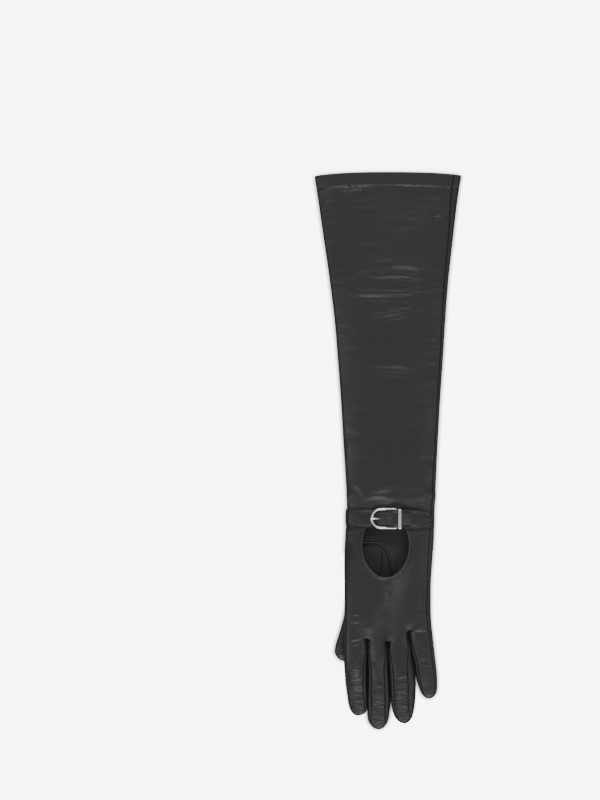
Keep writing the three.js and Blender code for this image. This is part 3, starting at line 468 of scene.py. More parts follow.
def outside_z(turn, half, height, edge, crown):
    """Height of a section's outside: rounded sides and a dome on top, flat below."""
    cos = np.abs(np.cos(turn))
    inward = np.minimum(half * (1 - cos), edge)
    rounding = np.sqrt(np.maximum(0, 1 - (1 - inward / edge) ** 2))
    dome = (height - 2 * edge) * (1 - cos**crown)
    return np.where(np.sin(turn) >= 0, edge * (1 + rounding) + dome, edge * (1 - rounding))


def skin(section, turn):
    """A point on the outside of a section. turn is 0 at the left, pi at the right over the top."""
    left, right, height, edge, y = (section[name] for name in ("left", "right", "height", "edge", "y"))
    cos, sin = np.cos(turn), np.sin(turn)
    half = (right - left) / 2
    x = (left + right) / 2 - half * cos
    flat = outside_z(turn, half, height, edge, section["crown"])
    share = flat / height
    bow = hem_bow(y, -cos)
    off_edge = smooth(np.abs(sin), 0.1, 0.5)
    palm_folds = fold_rise(PALM_FOLDS, x, y) * smooth(np.abs(cos), PALM_FOLD_REACH, 0.9)
    folds = off_edge * np.where(sin >= 0, fold_rise(BACK_FOLDS, x, y), palm_folds)
    under_dimple = fork_dimple(x, y, PALM_FORK_SHIFT) * np.maximum(0, 1 - 2 * share)
    over_dimple = fork_dimple(x, y, 0) * np.maximum(0, 2 * share - 1)
    lifted = mix(lift(x, y), lift(x, y, BACK_SPREAD), smooth(share, 0.3, 0.9))
    z = section["base"] + flat + folds + under_dimple - over_dimple + lifted
    return np.stack([x, y - bow + 0 * x, z], axis=-1)


def turn_over(section, x):
    """The turn at which a section's top has this x."""
    left, right = section["left"], section["right"]
    return np.arccos(np.clip((left + right - 2 * x) / (right - left), -1, 1))


def turn_under(section, x):
    return 2 * math.pi - turn_over(section, x)


def along_skin(section, turn, distance):
    """The turn that lies this far along the skin from another."""
    step = 1e-3
    speed = np.linalg.norm(skin(section, turn + step) - skin(section, turn - step), axis=-1) / (2 * step)
    return turn + distance / np.maximum(speed, 1e-6)


def ulnar_seam(section):
    return turn_over(section, section["right"] - section["seam"])


def radial_seam(section):
    return turn_under(section, section["left"] + section["seam"] * RADIAL_SEAM_SHARE) - 2 * math.pi


def finger_rows(finger, start):
    """The y of a finger's rows below each start: even steps, then the rounded tip."""
    tip_start = finger["tip"] + TIP_LENGTH
    shares = (np.arange(1, FINGER_ROWS + 1) / FINGER_ROWS) ** 1.15
    straight = mix(start[None, :], tip_start, shares[:, None])
    arcs = TIP_LENGTH * np.sin(np.arange(1, TIP_ROWS + 1) / TIP_ROWS * TIP_ARC)
    return np.vstack([straight, np.repeat(tip_start - arcs[:, None], len(start), axis=1)])


def seam_share(finger, side, y, shift):
    """How far in from a side of a finger its seam lies, as a share of half its width."""
    root = finger["rows"]["y"][0] + shift
    outer = side == "right" and finger["name"] == "little"
    opens = 1.0 if outer else smooth(root - y, -1, SEAM_OPENS)
    closes = np.sqrt(np.clip((y - finger["tip"] - STRIP_END) / STRIP_CLOSES, 0, 1))
    return finger["share"][side] * mix(SEAM_CLOSED, 1, opens) * closes


def finger_seams(finger, y):
    """The four seams of a finger's section, as turns."""
    section = finger_section(finger, y)
    left, right = section["left"], section["right"]
    half = (right - left) / 2
    radial = turn_under(section, left + column(BODY, "seam", y) * RADIAL_SEAM_SHARE * 0.5) - 2 * math.pi
    over_right = turn_over(section, right - half * seam_share(finger, "right", y, 0))
    seams = {"section": section, "over_right": over_right}
    if finger["name"] == "little":
        seams["under_right"] = over_right
    else:
        seams["under_right"] = turn_under(
            section, right - half * seam_share(finger, "right", y, PALM_FORK_SHIFT)
        )
    if finger["name"] == "index":
        seams["over_left"], seams["under_left"] = radial, radial + 2 * math.pi
    else:
        seams["over_left"] = turn_over(section, left + half * seam_share(finger, "left", y, 0))
        seams["under_left"] = turn_under(
            section, left + half * seam_share(finger, "left", y, PALM_FORK_SHIFT)
        )
    return seams


def fork_line(x, shift):
    """Where a panel's hand ends and its fingers begin."""
    (left_x, left_y), (right_x, right_y) = HAND_END["left"], HAND_END["right"]
    xs = np.concatenate([[left_x], FORKS["x"], [right_x]])
    return np.interp(x, xs, np.concatenate([[left_y], FORKS["y"] + shift, [right_y]]))


def fork_shares():
    section = body_section(FORKS["y"])
    return (FORKS["x"] - section["left"]) / (section["right"] - section["left"])


def lane_shares(count):
    """Shares of a lane's width at which its columns lie, closer together at its two edges."""
    even = np.arange(count + 1) / count
    return even - LANE_CROWDS * np.sin(2 * math.pi * even)


def body_turns(y, over, lane):
    """The turns of a panel's columns on rows y, which is an array of rows by columns."""
    section = body_section(y)
    xs = [mix(section["left"], section["right"], share) for share in fork_shares()]
    gap = SEAM_GAP / 2
    if over:
        ends = along_skin(section, radial_seam(section), gap), along_skin(
            section, ulnar_seam(section), -gap
        )
        stops = [ends[0], *(turn_over(section, x) for x in xs), ends[1]]
    else:
        radial = radial_seam(section) + 2 * math.pi
        ends = along_skin(section, ulnar_seam(section), gap), along_skin(section, radial, -gap)
        stops = [ends[0], *(turn_under(section, x) for x in reversed(xs)), ends[1]]
    shares = lane_shares(lane)
    turns = []
    for n in range(4):
        columns = slice(n * lane, (n + 1) * lane + (n == 3))
        share = shares[: columns.stop - columns.start]
        turns.append(mix(stops[n][:, columns], stops[n + 1][:, columns], share))
    return section, np.hstack(turns)


def sleeve_levels():
    """The y of the straight rows, closer at the hem's fold and at its line of stitches."""
    line = HEM_Y - HEM_DEPTH
    hem = [HEM_Y - d for d in (0, 0.15, 0.4, 0.8, 1.4, 2.6, 4.2, 6.0, 7.8, 9.2)]
    stitched = [line + d for d in (1.4, 0.9, 0.5, 0.2, -0.2, -0.5, -0.9, -1.4, -2.2)]
    first = line - 3.4
    sleeve = np.linspace(first, HAND_FROM, round((first - HAND_FROM) / SLEEVE_STEP))
    hand = np.linspace(HAND_FROM, FAN_FROM, round((HAND_FROM - FAN_FROM) / HAND_STEP))
    return np.array([*hem, *stitched, *sleeve, *hand[1:]])


class Patch:
    """Points and quads of a sheet of leather, before it is a mesh."""

    def __init__(self):
        self.points, self.quads, self.count = [], [], 0

    def add(self, grid, above=None):
        """Adds rows of points, joined to the row above if any. Returns the last row's numbers."""
        rows, columns = grid.shape[:2]
        numbers = self.count + np.arange(rows * columns).reshape(rows, columns)
        self.points.append(grid.reshape(-1, 3))
        self.count += rows * columns
        if above is not None:
            numbers = np.vstack([above, numbers])
        corners = numbers[:-1, :-1], numbers[1:, :-1], numbers[1:, 1:], numbers[:-1, 1:]
        self.quads.append(np.stack(corners, axis=-1).reshape(-1, 4))
        return numbers[-1]

    def done(self):
        return np.vstack(self.points), np.vstack(self.quads)


def panel(over, lane):
    """One half of the glove: a sleeve and hand whose sheet runs on into four fingers."""
    shift = 0 if over else PALM_FORK_SHIFT
    patch = Patch()
    levels = sleeve_levels()
    columns = 4 * lane + 1
    section, turns = body_turns(np.repeat(levels[:, None], columns, axis=1), over, lane)
    last = patch.add(skin(section, turns))
    fan_turns = turns[-1:]
    ends = fork_line(
        skin(body_section(np.full(fan_turns.shape, float(FAN_FROM))), fan_turns)[0, :, 0], shift
    )
    steps = np.arange(1, FAN_ROWS + 1)[:, None] / FAN_ROWS
    section, turns = body_turns(mix(FAN_FROM, ends[None, :], steps), over, lane)
    last = patch.add(skin(section, turns), last)
    for n, finger in enumerate(FINGERS if over else FINGERS[::-1]):
        columns = slice(n * lane, (n + 1) * lane + 1)
        y = finger_rows(finger, ends[columns])
        seams = finger_seams(finger, y)
        section = seams["section"]
        start = along_skin(section, seams["over_left" if over else "under_right"], SEAM_GAP / 2)
        end = along_skin(section, seams["over_right" if over else "under_left"], -SEAM_GAP / 2)
        finger_skin = skin(section, mix(start, end, lane_shares(lane)))
        wide = np.repeat(y[:, :1], 4 * lane + 1, axis=1)
        wide[:, columns] = y
        hand_section, hand_turns = body_turns(wide, over, lane)
        hand_skin = skin(hand_section, hand_turns)[:, columns]
        grown = smooth(ends[columns] - y, 0, FINGER_GROWS) * np.ones_like(y)
        steps = np.linalg.norm(np.diff(finger_skin, axis=1), axis=2)
        from_start = np.hstack([0 * y[:, :1], np.cumsum(steps, axis=1)])
        inner = [from_start] if n > 0 else []
        inner += [from_start[:, -1:] - from_start] if n < 3 else []
        keeps = np.prod([smooth(distance, 0, FORK_BLENDS) for distance in inner], axis=0)
        patch.add(mix(finger_skin, hand_skin, ((1 - grown) * keeps)[..., None]), last[columns])
    return patch.done()


def fork_strip(index, columns=14):
    """The strip of leather that lines one fork and the facing sides of its two fingers."""
    before, after = FINGERS[index], FINGERS[index + 1]
    across = np.arange(columns + 1) / columns
    across = across - STRIP_CROWDS * np.sin(2 * math.pi * across)
    start = FORKS["y"][index] + PALM_FORK_SHIFT * across

    def side(finger, right):
        y = np.vstack([start - CROTCH_DROP, finger_rows(finger, start)])
        keep = y[:, 0] > finger["tip"] + STRIP_END + 0.1
        y = y[keep]
        seams = finger_seams(finger, y)
        section, gap = seams["section"], SEAM_GAP / 2
        if right:
            top, under = along_skin(section, seams["over_right"], gap), along_skin(
                section, seams["under_right"], -gap
            )
        else:
            top = along_skin(section, seams["over_left"], -gap) + 2 * math.pi
            under = along_skin(section, seams["under_left"], gap)
        return skin(section, mix(top, under, across))

    first, second = side(before, True), side(after, False)
    middle = (first[:1] + second[:1]) / 2 + np.array([0, 0.6, 0])
    quarters = [mix(first[:1], middle, 0.6), middle, mix(middle, second[:1], 0.4)]
    quarters[0][..., 1] += 0.25
    quarters[2][..., 1] += 0.25
    patch = Patch()
    patch.add(np.vstack([first[::-1], *quarters, second]))
    points, quads = patch.done()
    return points, quads[:, ::-1]


def thumb_section(y):
    rounding = tip_rounding(y, THUMB_TIP)
    half = column(THUMB, "half", np.maximum(y, THUMB_TIP + TIP_LENGTH)) * rounding
    full = column(THUMB, "height", y)
    height = full * rounding**TIP_FLATTENS
    return {
        "x": column(THUMB, "x", y),
        "y": y,
        "half": half,
        "height": height,
        "edge": soft_edge(half, height, THUMB_EDGE),
        "base": (full - height) * TIP_RISES,
    }


def thumb_skin(section, turn):
    cos = np.cos(turn)
    half = section["half"]
    z = section["base"] + outside_z(turn, half, section["height"], section["edge"], THUMB_CROWN)
    return np.stack([section["x"] - half * cos, section["y"] + 0 * cos, z], axis=-1)


def thumb_sheet(columns=48, open_rows=44, tube_rows=14):
    """The thumb: an open trough whose rim follows the palm's opening, then a closed tube."""
    half_length = OPENING["half_length"]
    open_end = OPENING["y"] - half_length
    tip_start = THUMB_TIP + TIP_LENGTH
    turns = np.arange(open_rows + 1) / open_rows * math.pi * 0.985
    rim_ys = OPENING["y"] + (half_length - 0.8) * np.cos(turns)
    tube_ys = np.linspace(rim_ys[-1], tip_start, tube_rows + 1)[1:]
    tip_ys = tip_start - TIP_LENGTH * np.sin(np.arange(1, TIP_ROWS + 1) / TIP_ROWS * TIP_ARC)
    ys = np.concatenate([rim_ys, tube_ys, tip_ys])[:, None]
    section = thumb_section(ys)
    opened = ys > open_end
    quarter = columns // 4
    js = np.arange(columns + 1)[None, :]
    left = js < quarter
    side = np.where(left, -1, 1)
    share = np.clip(np.where(left, js, columns - js) / quarter, 0, 1)
    ring = thumb_skin(section, math.pi / 2 - js / columns * 2 * math.pi)
    # The rim of the open stretch, and the leather from it down to the widest line.
    power = OPENING["power"]
    across = np.maximum(0, 1 - np.abs((ys - OPENING["y"]) / half_length) ** power) ** (1 / power)
    rim_x = OPENING["x"] + side * OPENING["half_width"] * across
    rim_z = np.maximum(0.02, lift(rim_x, ys + 0 * rim_x) - LIFT_GAP - WALL - 0.1)
    rim = np.stack([rim_x, ys + 0 * rim_x, rim_z], axis=-1)
    flank = thumb_skin(section, np.where(left, 0, math.pi) + 0 * ys)
    trough = mix(rim, flank, share[..., None])
    inside = np.abs(trough[..., 0] - section["x"]) < section["half"]
    over = np.arccos(np.clip((section["x"] - trough[..., 0]) / section["half"], -1, 1))
    top = thumb_skin(section, over)[..., 2] - WALL * (1 - share) ** 2
    trough[..., 2] = np.where(inside, np.maximum(trough[..., 2], top), trough[..., 2])
    # The closed stretch, whose seam drifts to the middle of its top.
    drift = smooth(open_end - ys, 0, open_end - tip_start)
    start = np.arccos(np.clip((section["x"] - OPENING["x"]) / section["half"], -1, 1))
    seam = mix(start, math.pi / 2, drift)
    tube = thumb_skin(section, mix(seam, np.where(left, 0, math.pi), share))
    upper = np.where(opened[..., None], trough, tube)
    flanks = (left | (js > 3 * quarter))[..., None]
    return np.where(flanks, upper, ring), opened[:, 0]


def top_z(x, y):
    section = body_section(y)
    return skin(section, turn_over(section, x))[..., 2]


def under_z(x, y):
    section = body_section(y)
    return skin(section, turn_under(section, x))[..., 2]


def deck(x):
    """Top of the leather under the middle of the strap."""
    return top_z(np.asarray(x, float), np.full(np.shape(x), float(STRAP["y"])))


# Relief of the back's leather, in millimetres outwards
def crease_rise(x, y):
    rise = 0
    rng = random.Random(FINE_CREASES["seed"])
    rows = [list(row) for row in zip(*(CREASES[name] for name in CREASE_COLUMNS.split()))]
    for _ in range(FINE_CREASES["count"]):
        cy = rng.uniform(*FINE_CREASES["y"])
        half = float(column(BODY, "right", np.array(cy))) - 6
        tilt = rng.gauss(0, FINE_CREASES["tilt"] / 2)
        sizes = [rng.uniform(*FINE_CREASES[name]) for name in ("length", "width", "rise")]
        rows.append([rng.uniform(-half, half), cy, tilt, *sizes, rng.uniform(-1, 1)])
    for cx, cy, turn, length, width, height, bow in rows:
        height = height * CREASE_SHARE
        along, across = turned(x, y, cx, cy, turn)
        across = across - bow * (1 - (2 * along / length) ** 2)
        ends = 1 - smooth(np.abs(along), length * 0.12, length / 2)
        ridge = np.exp(-((across / width) ** 2))
        hollow = 0.6 * np.exp(-(((across + 1.5 * width) / (1.1 * width)) ** 2))
        rise = rise + height * ends * (ridge - hollow)
    return rise


def hem_y(x, y):
    """y measured from the bowed hem, so that the hem's line of stitches has one value."""
    half = column(BODY, "right", y)
    return y + hem_bow(y, x / half)


def hem_relief(x, y):
    """The doubled band stands proud, is rounded at its fold and drawn in at its stitches."""
    level = hem_y(x, y)
    below = level - (HEM_Y - HEM_DEPTH)
    fold = np.sqrt(np.clip(1 - (1 - (HEM_Y - level) / HEM_FOLD) ** 2, 0, 1)) - 1
    band = 0.7 * np.where(HEM_Y - level < HEM_FOLD, fold, 0)
    groove = -0.2 * np.exp(-((below / 0.5) ** 2))
    puckers = 0.1 * np.sin(x * 2 * math.pi / HEM_PITCH) * np.exp(-(((below + 1.6) / 1.6) ** 2))
    full = 0.2 + sum(np.exp(-(((x - middle) / half) ** 4)) for middle, half in HEM_FULLNESS)
    crest = below + 1.7
    soft = full * (0.62 + 0.12 * np.sin(x * 0.9)) * np.exp(-((crest / np.where(crest > 0, 0.85, 3.6)) ** 2))
    return band + groove + puckers + soft


def strap_relief(points, normals):
    """The strap draws the leather in all round, and it swells over the strap's upper edge."""
    x, y = points[:, 0], points[:, 1]
    facing = smooth(normals[:, 2], 0.15, 0.7)
    above, below = y - STRAP["y"] - STRAP["half"], STRAP["y"] - STRAP["half"] - y
    off = np.maximum(above, below)
    swell = 1.6 * np.exp(-(((above - 12) / 6.5) ** 2)) + 0.3 * np.exp(-(((below - 3) / 2.0) ** 2))
    pressed = -0.3 * (1 - smooth(off, -0.5, 4))
    sides = -STRAP["sinks"] * (1 - smooth(off, -1.0, 2.5)) * smooth(np.abs(normals[:, 0]), 0.3, 0.85)
    return facing * (swell * (np.abs(x) < 60) + pressed) + sides * (x < 0)


def in_finger(finger, points, margin, below):
    x, y = points[:, 0], points[:, 1]
    left, right = column(finger["rows"], "left", y), column(finger["rows"], "right", y)
    return (x > left - margin) & (x < right + margin) & (y < below)


def seam_depth(points):
    """How deep a seam is: least at a fingertip and at a fork, full everywhere else."""
    share = np.ones(len(points))
    for finger in FINGERS:
        at_tip = np.minimum(share, smooth(points[:, 1] - finger["tip"], 3, 14))
        share = np.where(in_finger(finger, points, 0.6, -195), at_tip, share)
    for x, y in zip(FORKS["x"], FORKS["y"]):
        share = np.minimum(share, mix(0.35, 1, smooth(np.hypot(points[:, 0] - x, points[:, 1] - y), 1, 9)))
    return mix(0.12, 1, share)


def seam_relief(distance, y):
    """The edge of a piece rolls in at its seam, and the stitches pucker it."""
    roll = np.sqrt(np.clip(1 - (1 - distance / SEAM_ROLL) ** 2, 0, 1)) - 1
    pucker = 0.08 * np.sin(y * 2 * math.pi / SEAM_PITCH) * np.exp(-(((distance - 1.9) / 1.3) ** 2))
    swell = 0.22 * np.exp(-(((distance - 2.2) / 1.4) ** 2))
    return SEAM_SINKS * np.where(distance < SEAM_ROLL, roll, 0) + pucker + swell


def normals_of(points, quads):
    cross = np.cross(points[quads[:, 2]] - points[quads[:, 0]], points[quads[:, 3]] - points[quads[:, 1]])
    normals = np.zeros_like(points)
    for k in range(4):
        np.add.at(normals, quads[:, k], cross)
    return normals / np.maximum(np.linalg.norm(normals, axis=1, keepdims=True), 1e-9)


def rim_of(quads):
    """The numbers of the points on a sheet's rim."""
    edges = np.vstack([quads[:, [k, (k + 1) % 4]] for k in range(4)])
    keys = np.sort(edges, axis=1)
    unique, counts = np.unique(keys, axis=0, return_counts=True)
    return np.unique(unique[counts == 1])


def distance_to(points, targets):
    tree = kdtree.KDTree(len(targets))
    for n, target in enumerate(targets):
        tree.insert(target, n)
    tree.balance()
    return np.array([tree.find(point)[2] for point in points])


def ellipse_points(hole, turns, outside=0.0):
    """Points on an opening's edge, or this far outside it. A power over 2 makes its shoulders fuller."""
    power = 2 / hole["power"]
    cos, sin = np.cos(turns), np.sin(turns)
    x = hole["x"] + (hole["half_width"] + outside) * np.sign(cos) * np.abs(cos) ** power
    y = hole["y"] + (hole["half_length"] + outside) * np.sign(sin) * np.abs(sin) ** power
    return np.stack([x, y], axis=1)


def cut_ellipse(points, quads, hole, grow, height_at, facing):
    """Cuts an ellipse out of a sheet: quads inside it go, and points left inside move on to it."""
    a, b = hole["half_width"] + grow, hole["half_length"] + grow
    dx, dy = points[:, 0] - hole["x"], points[:, 1] - hole["y"]
    radius = (np.abs(dx / a) ** hole["power"] + np.abs(dy / b) ** hole["power"]) ** (1 / hole["power"])
    inside = (radius < 1) & facing(points)
    kept = quads[~inside[quads].all(axis=1)]
    moved = np.unique(kept[inside[kept]])
    scale = 1 / np.maximum(radius[moved], 1e-6)
    points = points.copy()
    points[moved, 0] = hole["x"] + dx[moved] * scale
    points[moved, 1] = hole["y"] + dy[moved] * scale
    points[moved, 2] = height_at(points[moved, 0], points[moved, 1])
    used, renumbered = np.unique(kept, return_inverse=True)
    return points[used], renumbered.reshape(kept.shape)


# Making meshes
def select_only(*objects):
    bpy.ops.object.select_all(action="DESELECT")
    for one in objects:
        one.select_set(True)
    bpy.context.view_layer.objects.active = objects[-1]


def set_mode(mode):
    bpy.ops.object.mode_set(mode=mode)


def added(operator, name, **settings):
    """A new primitive, alone selected."""
    bpy.ops.object.select_all(action="DESELECT")
    operator(**settings)
    piece = bpy.context.object
    piece.name = name
    return piece


def fix_place():
    """Applies the selected object's place, turn and scale to its mesh."""
    bpy.ops.object.transform_apply(location=True, rotation=True, scale=True)


def pick(piece, kind, test):
    """Selects a piece's vertices, edges or polygons that pass a test, and stays in edit mode."""
    modes = {"vertices": "VERT", "edges": "EDGE", "polygons": "FACE"}
    select_only(piece)
    set_mode("EDIT")
    bpy.ops.mesh.select_mode(type=modes[kind])
    bpy.ops.mesh.select_all(action="DESELECT")
    set_mode("OBJECT")
    for part in getattr(piece.data, kind):
        part.select = bool(test(part))
    set_mode("EDIT")


def close_up(piece, gap=0.005):
    """Merges what a spin or a closed strip left double, closes its ends and turns its faces outwards."""
    select_only(piece)
    set_mode("EDIT")
    bpy.ops.mesh.select_mode(type="EDGE")
    bpy.ops.mesh.select_all(action="SELECT")
    bpy.ops.mesh.remove_doubles(threshold=gap * MM)
    bpy.ops.mesh.select_all(action="DESELECT")
    bpy.ops.mesh.select_non_manifold()
    bpy.ops.mesh.edge_face_add()
    bpy.ops.mesh.select_all(action="SELECT")
    bpy.ops.mesh.normals_make_consistent(inside=False)
    set_mode("OBJECT")


def in_metres(*millimetres):
    return tuple(value * MM for value in millimetres)


def laid_sheet(name, points, quads):
    """A sheet of leather laid on points given in millimetres."""
    mesh = bpy.data.meshes.new(name)
    mesh.from_pydata((points * MM).tolist(), [], [list(quad) for quad in quads])
    mesh.validate()
    piece = bpy.data.objects.new(name, mesh)
    bpy.context.scene.collection.objects.link(piece)
    return piece


def finish_modifier(piece, kind, **settings):
    modifier = piece.modifiers.new(kind.title(), kind)
    for key, value in settings.items():
        setattr(modifier, key, value)
    select_only(piece)
    bpy.ops.object.modifier_apply(modifier=modifier.name)


def thicken(piece, thickness, weights):
    """Gives a sheet its wall, on the inside, whose faces take the second material."""
    group = piece.vertex_groups.new(name="wall")
    rounded = np.round(weights, 2)
    for weight in np.unique(rounded):
        group.add(np.flatnonzero(rounded == weight).tolist(), float(weight), "REPLACE")
    finish_modifier(
        piece,
        "SOLIDIFY",
        thickness=thickness * MM,
        offset=-1,
        use_rim=True,
        material_offset=1,
        vertex_group="wall",
    )


def smooth_shading(piece, degrees=50):
    select_only(piece)
    bpy.ops.object.shade_smooth_by_angle(angle=math.radians(degrees))


def place(piece, slot, materials, *nodes):
    """Gives a piece its materials and its body, and hides the CAD nodes that it stands for."""
    for material in materials:
        piece.data.materials.append(material)
    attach(piece, "root")
    if nodes:
        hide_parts(*nodes)
    return piece


def wrinkled(points, patches):
    """How wrinkled the leather is, 0 to 1."""
    amount = 0
    for x, y, half_width, half_length, share in zip(*(patches[name] for name in WRINKLE_COLUMNS.split())):
        away = np.hypot((points[:, 0] - x) / half_width, (points[:, 1] - y) / half_length)
        amount = np.maximum(amount, share * (1 - smooth(away, 0.5, 1.3)))
    return amount


def mark_wrinkles(piece, points, patches):
    """Gives a piece the wrinkle attribute that its leather reads."""
    wrinkle = piece.data.attributes.new("wrinkle", "FLOAT", "POINT")
    wrinkle.data.foreach_set("value", wrinkled(points, patches).astype(np.float32))


def leather_piece(name, points, quads, node, relief, thickness, weights, open_rim=None):
    """A sheet with its relief and wall. Its seam edges roll in, apart from the rim in open_rim."""
    rim = rim_of(quads)
    if open_rim is not None:
        rim = rim[~open_rim(points[rim])]
    distance = distance_to(points, points[rim])
    normals = normals_of(points, quads)
    seams = seam_relief(distance, points[:, 1]) * seam_depth(points)
    raised = points + normals * (relief(points, normals) + seams)[:, None]
    raised[:, 2] = np.maximum(raised[:, 2], ON_TABLE)
    piece = laid_sheet(name, raised, quads)
    place(piece, "glove_leather", LEATHERS, node)
    mark_wrinkles(piece, points, WRINKLED)
    thicken(piece, thickness, weights)
    smooth_shading(piece)
    return piece


# Materials
def linear(hex_colour):
    """An sRGB hex colour as linear RGBA."""
    parts = [int(hex_colour[n : n + 2], 16) / 255 for n in (1, 3, 5)]
    return [*(p / 12.92 if p <= 0.04045 else ((p + 0.055) / 1.055) ** 2.4 for p in parts), 1]


def add_node(material, kind, settings=None, **links):
    """Adds a node. links name its input sockets: a socket is linked, anything else is a value."""
    node = material.node_tree.nodes.new(kind)
    for key, value in (settings or {}).items():
        setattr(node, key, value)
    for name, value in links.items():
        socket = node.inputs[int(name[1:])] if name[1:].isdigit() else node.inputs[name.replace("_", " ")]
        if isinstance(value, bpy.types.NodeSocket):
            material.node_tree.links.new(value, socket)
        else:
            socket.default_value = value
    return node


def new_material(name, **shader_values):
    material = bpy.data.materials.new(name)
    material.use_nodes = True
    shader = material.node_tree.nodes["Principled BSDF"]
    for key, value in shader_values.items():
        shader.inputs[key.replace("_", " ")].default_value = value
    return material, shader


def join(material, source, shader, name):
    material.node_tree.links.new(source, shader.inputs[name])


def per_metre(millimetres):
    """A texture's scale on Object coordinates for features of this size."""
    return 1 / (millimetres * MM)


# Drum-dyed black lamb nappa with a thin aniline finish: near black, a soft broad gloss, fine pores,
# and small creases across the arm that catch the light, a little lighter and browner in soft patches
# at random.
def nappa(name, dark, light, roughness, grain=1.3, depth=0.10, creased=0.9):
    material, shader = new_material(name, Roughness=roughness, Specular_IOR_Level=0.3)
    place_on = add_node(material, "ShaderNodeTexCoord").outputs["Object"]
    cloud = add_node(
        material, "ShaderNodeTexNoise", Vector=place_on, Scale=per_metre(38), Detail=5.0, Roughness=0.6
    )
    tone = add_node(material, "ShaderNodeValToRGB", Fac=cloud.outputs["Fac"])
    tone.color_ramp.elements[0].position = 0.35
    tone.color_ramp.elements[0].color = linear(dark)
    tone.color_ramp.elements[1].position = 0.72
    tone.color_ramp.elements[1].color = linear(light)
    join(material, tone.outputs["Color"], shader, "Base Color")
    low, high = roughness + 0.07, roughness - 0.07
    gloss = add_node(
        material,
        "ShaderNodeMapRange",
        Value=cloud.outputs["Fac"],
        From_Min=0.3,
        From_Max=0.75,
        To_Min=low,
        To_Max=high,
    )
    join(material, gloss.outputs["Result"], shader, "Roughness")
    # Pores are about 0.4 mm on the real skin, and are drawn at grain millimetres so that they show.
    pores = add_node(
        material, "ShaderNodeTexVoronoi", {"feature": "SMOOTH_F1"}, Vector=place_on, Scale=per_metre(grain)
    )
    skinlines = add_node(
        material, "ShaderNodeTexNoise", Vector=place_on, Scale=per_metre(2.6), Detail=4.0, Roughness=0.65
    )
    height = add_node(
        material,
        "ShaderNodeMath",
        {"operation": "MULTIPLY_ADD"},
        _0=skinlines.outputs["Fac"],
        _1=1.6,
        _2=pores.outputs["Distance"],
    )
    # Soft creases run across the arm and the fingers, deepest where "wrinkle" is 1. Their noise has
    # features of 3.4 mm along the arm and about 15 mm across it.
    across = add_node(material, "ShaderNodeMapping", Vector=place_on, Scale=(0.22, 1.0, 1.0))
    streaks = add_node(
        material,
        "ShaderNodeTexNoise",
        Vector=across.outputs["Vector"],
        Scale=per_metre(3.4),
        Detail=3.0,
        Roughness=0.5,
        Distortion=0.4,
    )
    wrinkle = add_node(material, "ShaderNodeAttribute", {"attribute_name": "wrinkle"})
    share = add_node(
        material,
        "ShaderNodeMath",
        {"operation": "MULTIPLY_ADD"},
        _0=wrinkle.outputs["Fac"],
        _1=7.0,
        _2=creased,
    )
    level = add_node(
        material, "ShaderNodeMath", {"operation": "SUBTRACT"}, _0=streaks.outputs["Fac"], _1=0.5
    )
    creases = add_node(
        material,
        "ShaderNodeMath",
        {"operation": "MULTIPLY"},
        _0=level.outputs["Value"],
        _1=share.outputs["Value"],
    )
    fine = add_node(
        material, "ShaderNodeBump", Strength=0.35, Distance=depth * MM, Height=height.outputs["Value"]
    )
    bump = add_node(
        material,
        "ShaderNodeBump",
        Strength=0.6,
        Distance=0.45 * MM,
        Height=creases.outputs["Value"],
        Normal=fine.outputs["Normal"],
    )
    join(material, bump.outputs["Normal"], shader, "Normal")
    return material


# The same skin's sueded flesh side: no gloss, darker in the shade of the glove.
def suede(name, dark, light):
    material, shader = new_material(name, Roughness=0.92, Specular_IOR_Level=0.25)
    place_on = add_node(material, "ShaderNodeTexCoord").outputs["Object"]
    nap = add_node(material, "ShaderNodeTexNoise", Vector=place_on, Scale=per_metre(1.2), Detail=3.0)
    tone = add_node(material, "ShaderNodeValToRGB", Fac=nap.outputs["Fac"])
    tone.color_ramp.elements[0].color = linear(dark)
    tone.color_ramp.elements[1].color = linear(light)
    join(material, tone.outputs["Color"], shader, "Base Color")
    bump = add_node(material, "ShaderNodeBump", Strength=0.4, Distance=0.1 * MM, Height=nap.outputs["Fac"])
    join(material, bump.outputs["Normal"], shader, "Normal")
    return material


# Bonded polyester thread, black: two plies that shine a little along each stitch.
def thread(name):
    material, shader = new_material(name, Base_Color=linear("#1c1b1b"), Roughness=0.45)
    place_on = add_node(material, "ShaderNodeTexCoord").outputs["Object"]
    plies = add_node(material, "ShaderNodeTexWave", Vector=place_on, Scale=per_metre(2.0), Distortion=1.0)
    bump = add_node(
        material, "ShaderNodeBump", Strength=0.5, Distance=0.05 * MM, Height=plies.outputs["Fac"]
    )
    join(material, bump.outputs["Normal"], shader, "Normal")
    return material


# Nickel-plated zinc casting, tumbled and polished: bright, faintly warm, with hair scratches that
# blur its reflections.
def nickel(name):
    material, shader = new_material(name, Base_Color=linear("#dedad5"), Metallic=1.0, Roughness=0.3)
    place_on = add_node(material, "ShaderNodeTexCoord").outputs["Object"]
    wear = add_node(
        material, "ShaderNodeTexNoise", Vector=place_on, Scale=per_metre(1.5), Detail=6.0, Roughness=0.7
    )
    gloss = add_node(
        material,
        "ShaderNodeMapRange",
        Value=wear.outputs["Fac"],
        From_Min=0.35,
        From_Max=0.7,
        To_Min=0.26,
        To_Max=0.38,
    )
    join(material, gloss.outputs["Result"], shader, "Roughness")
    bump = add_node(
        material, "ShaderNodeBump", Strength=0.08, Distance=0.04 * MM, Height=wear.outputs["Fac"]
    )
    join(material, bump.outputs["Normal"], shader, "Normal")
    return material


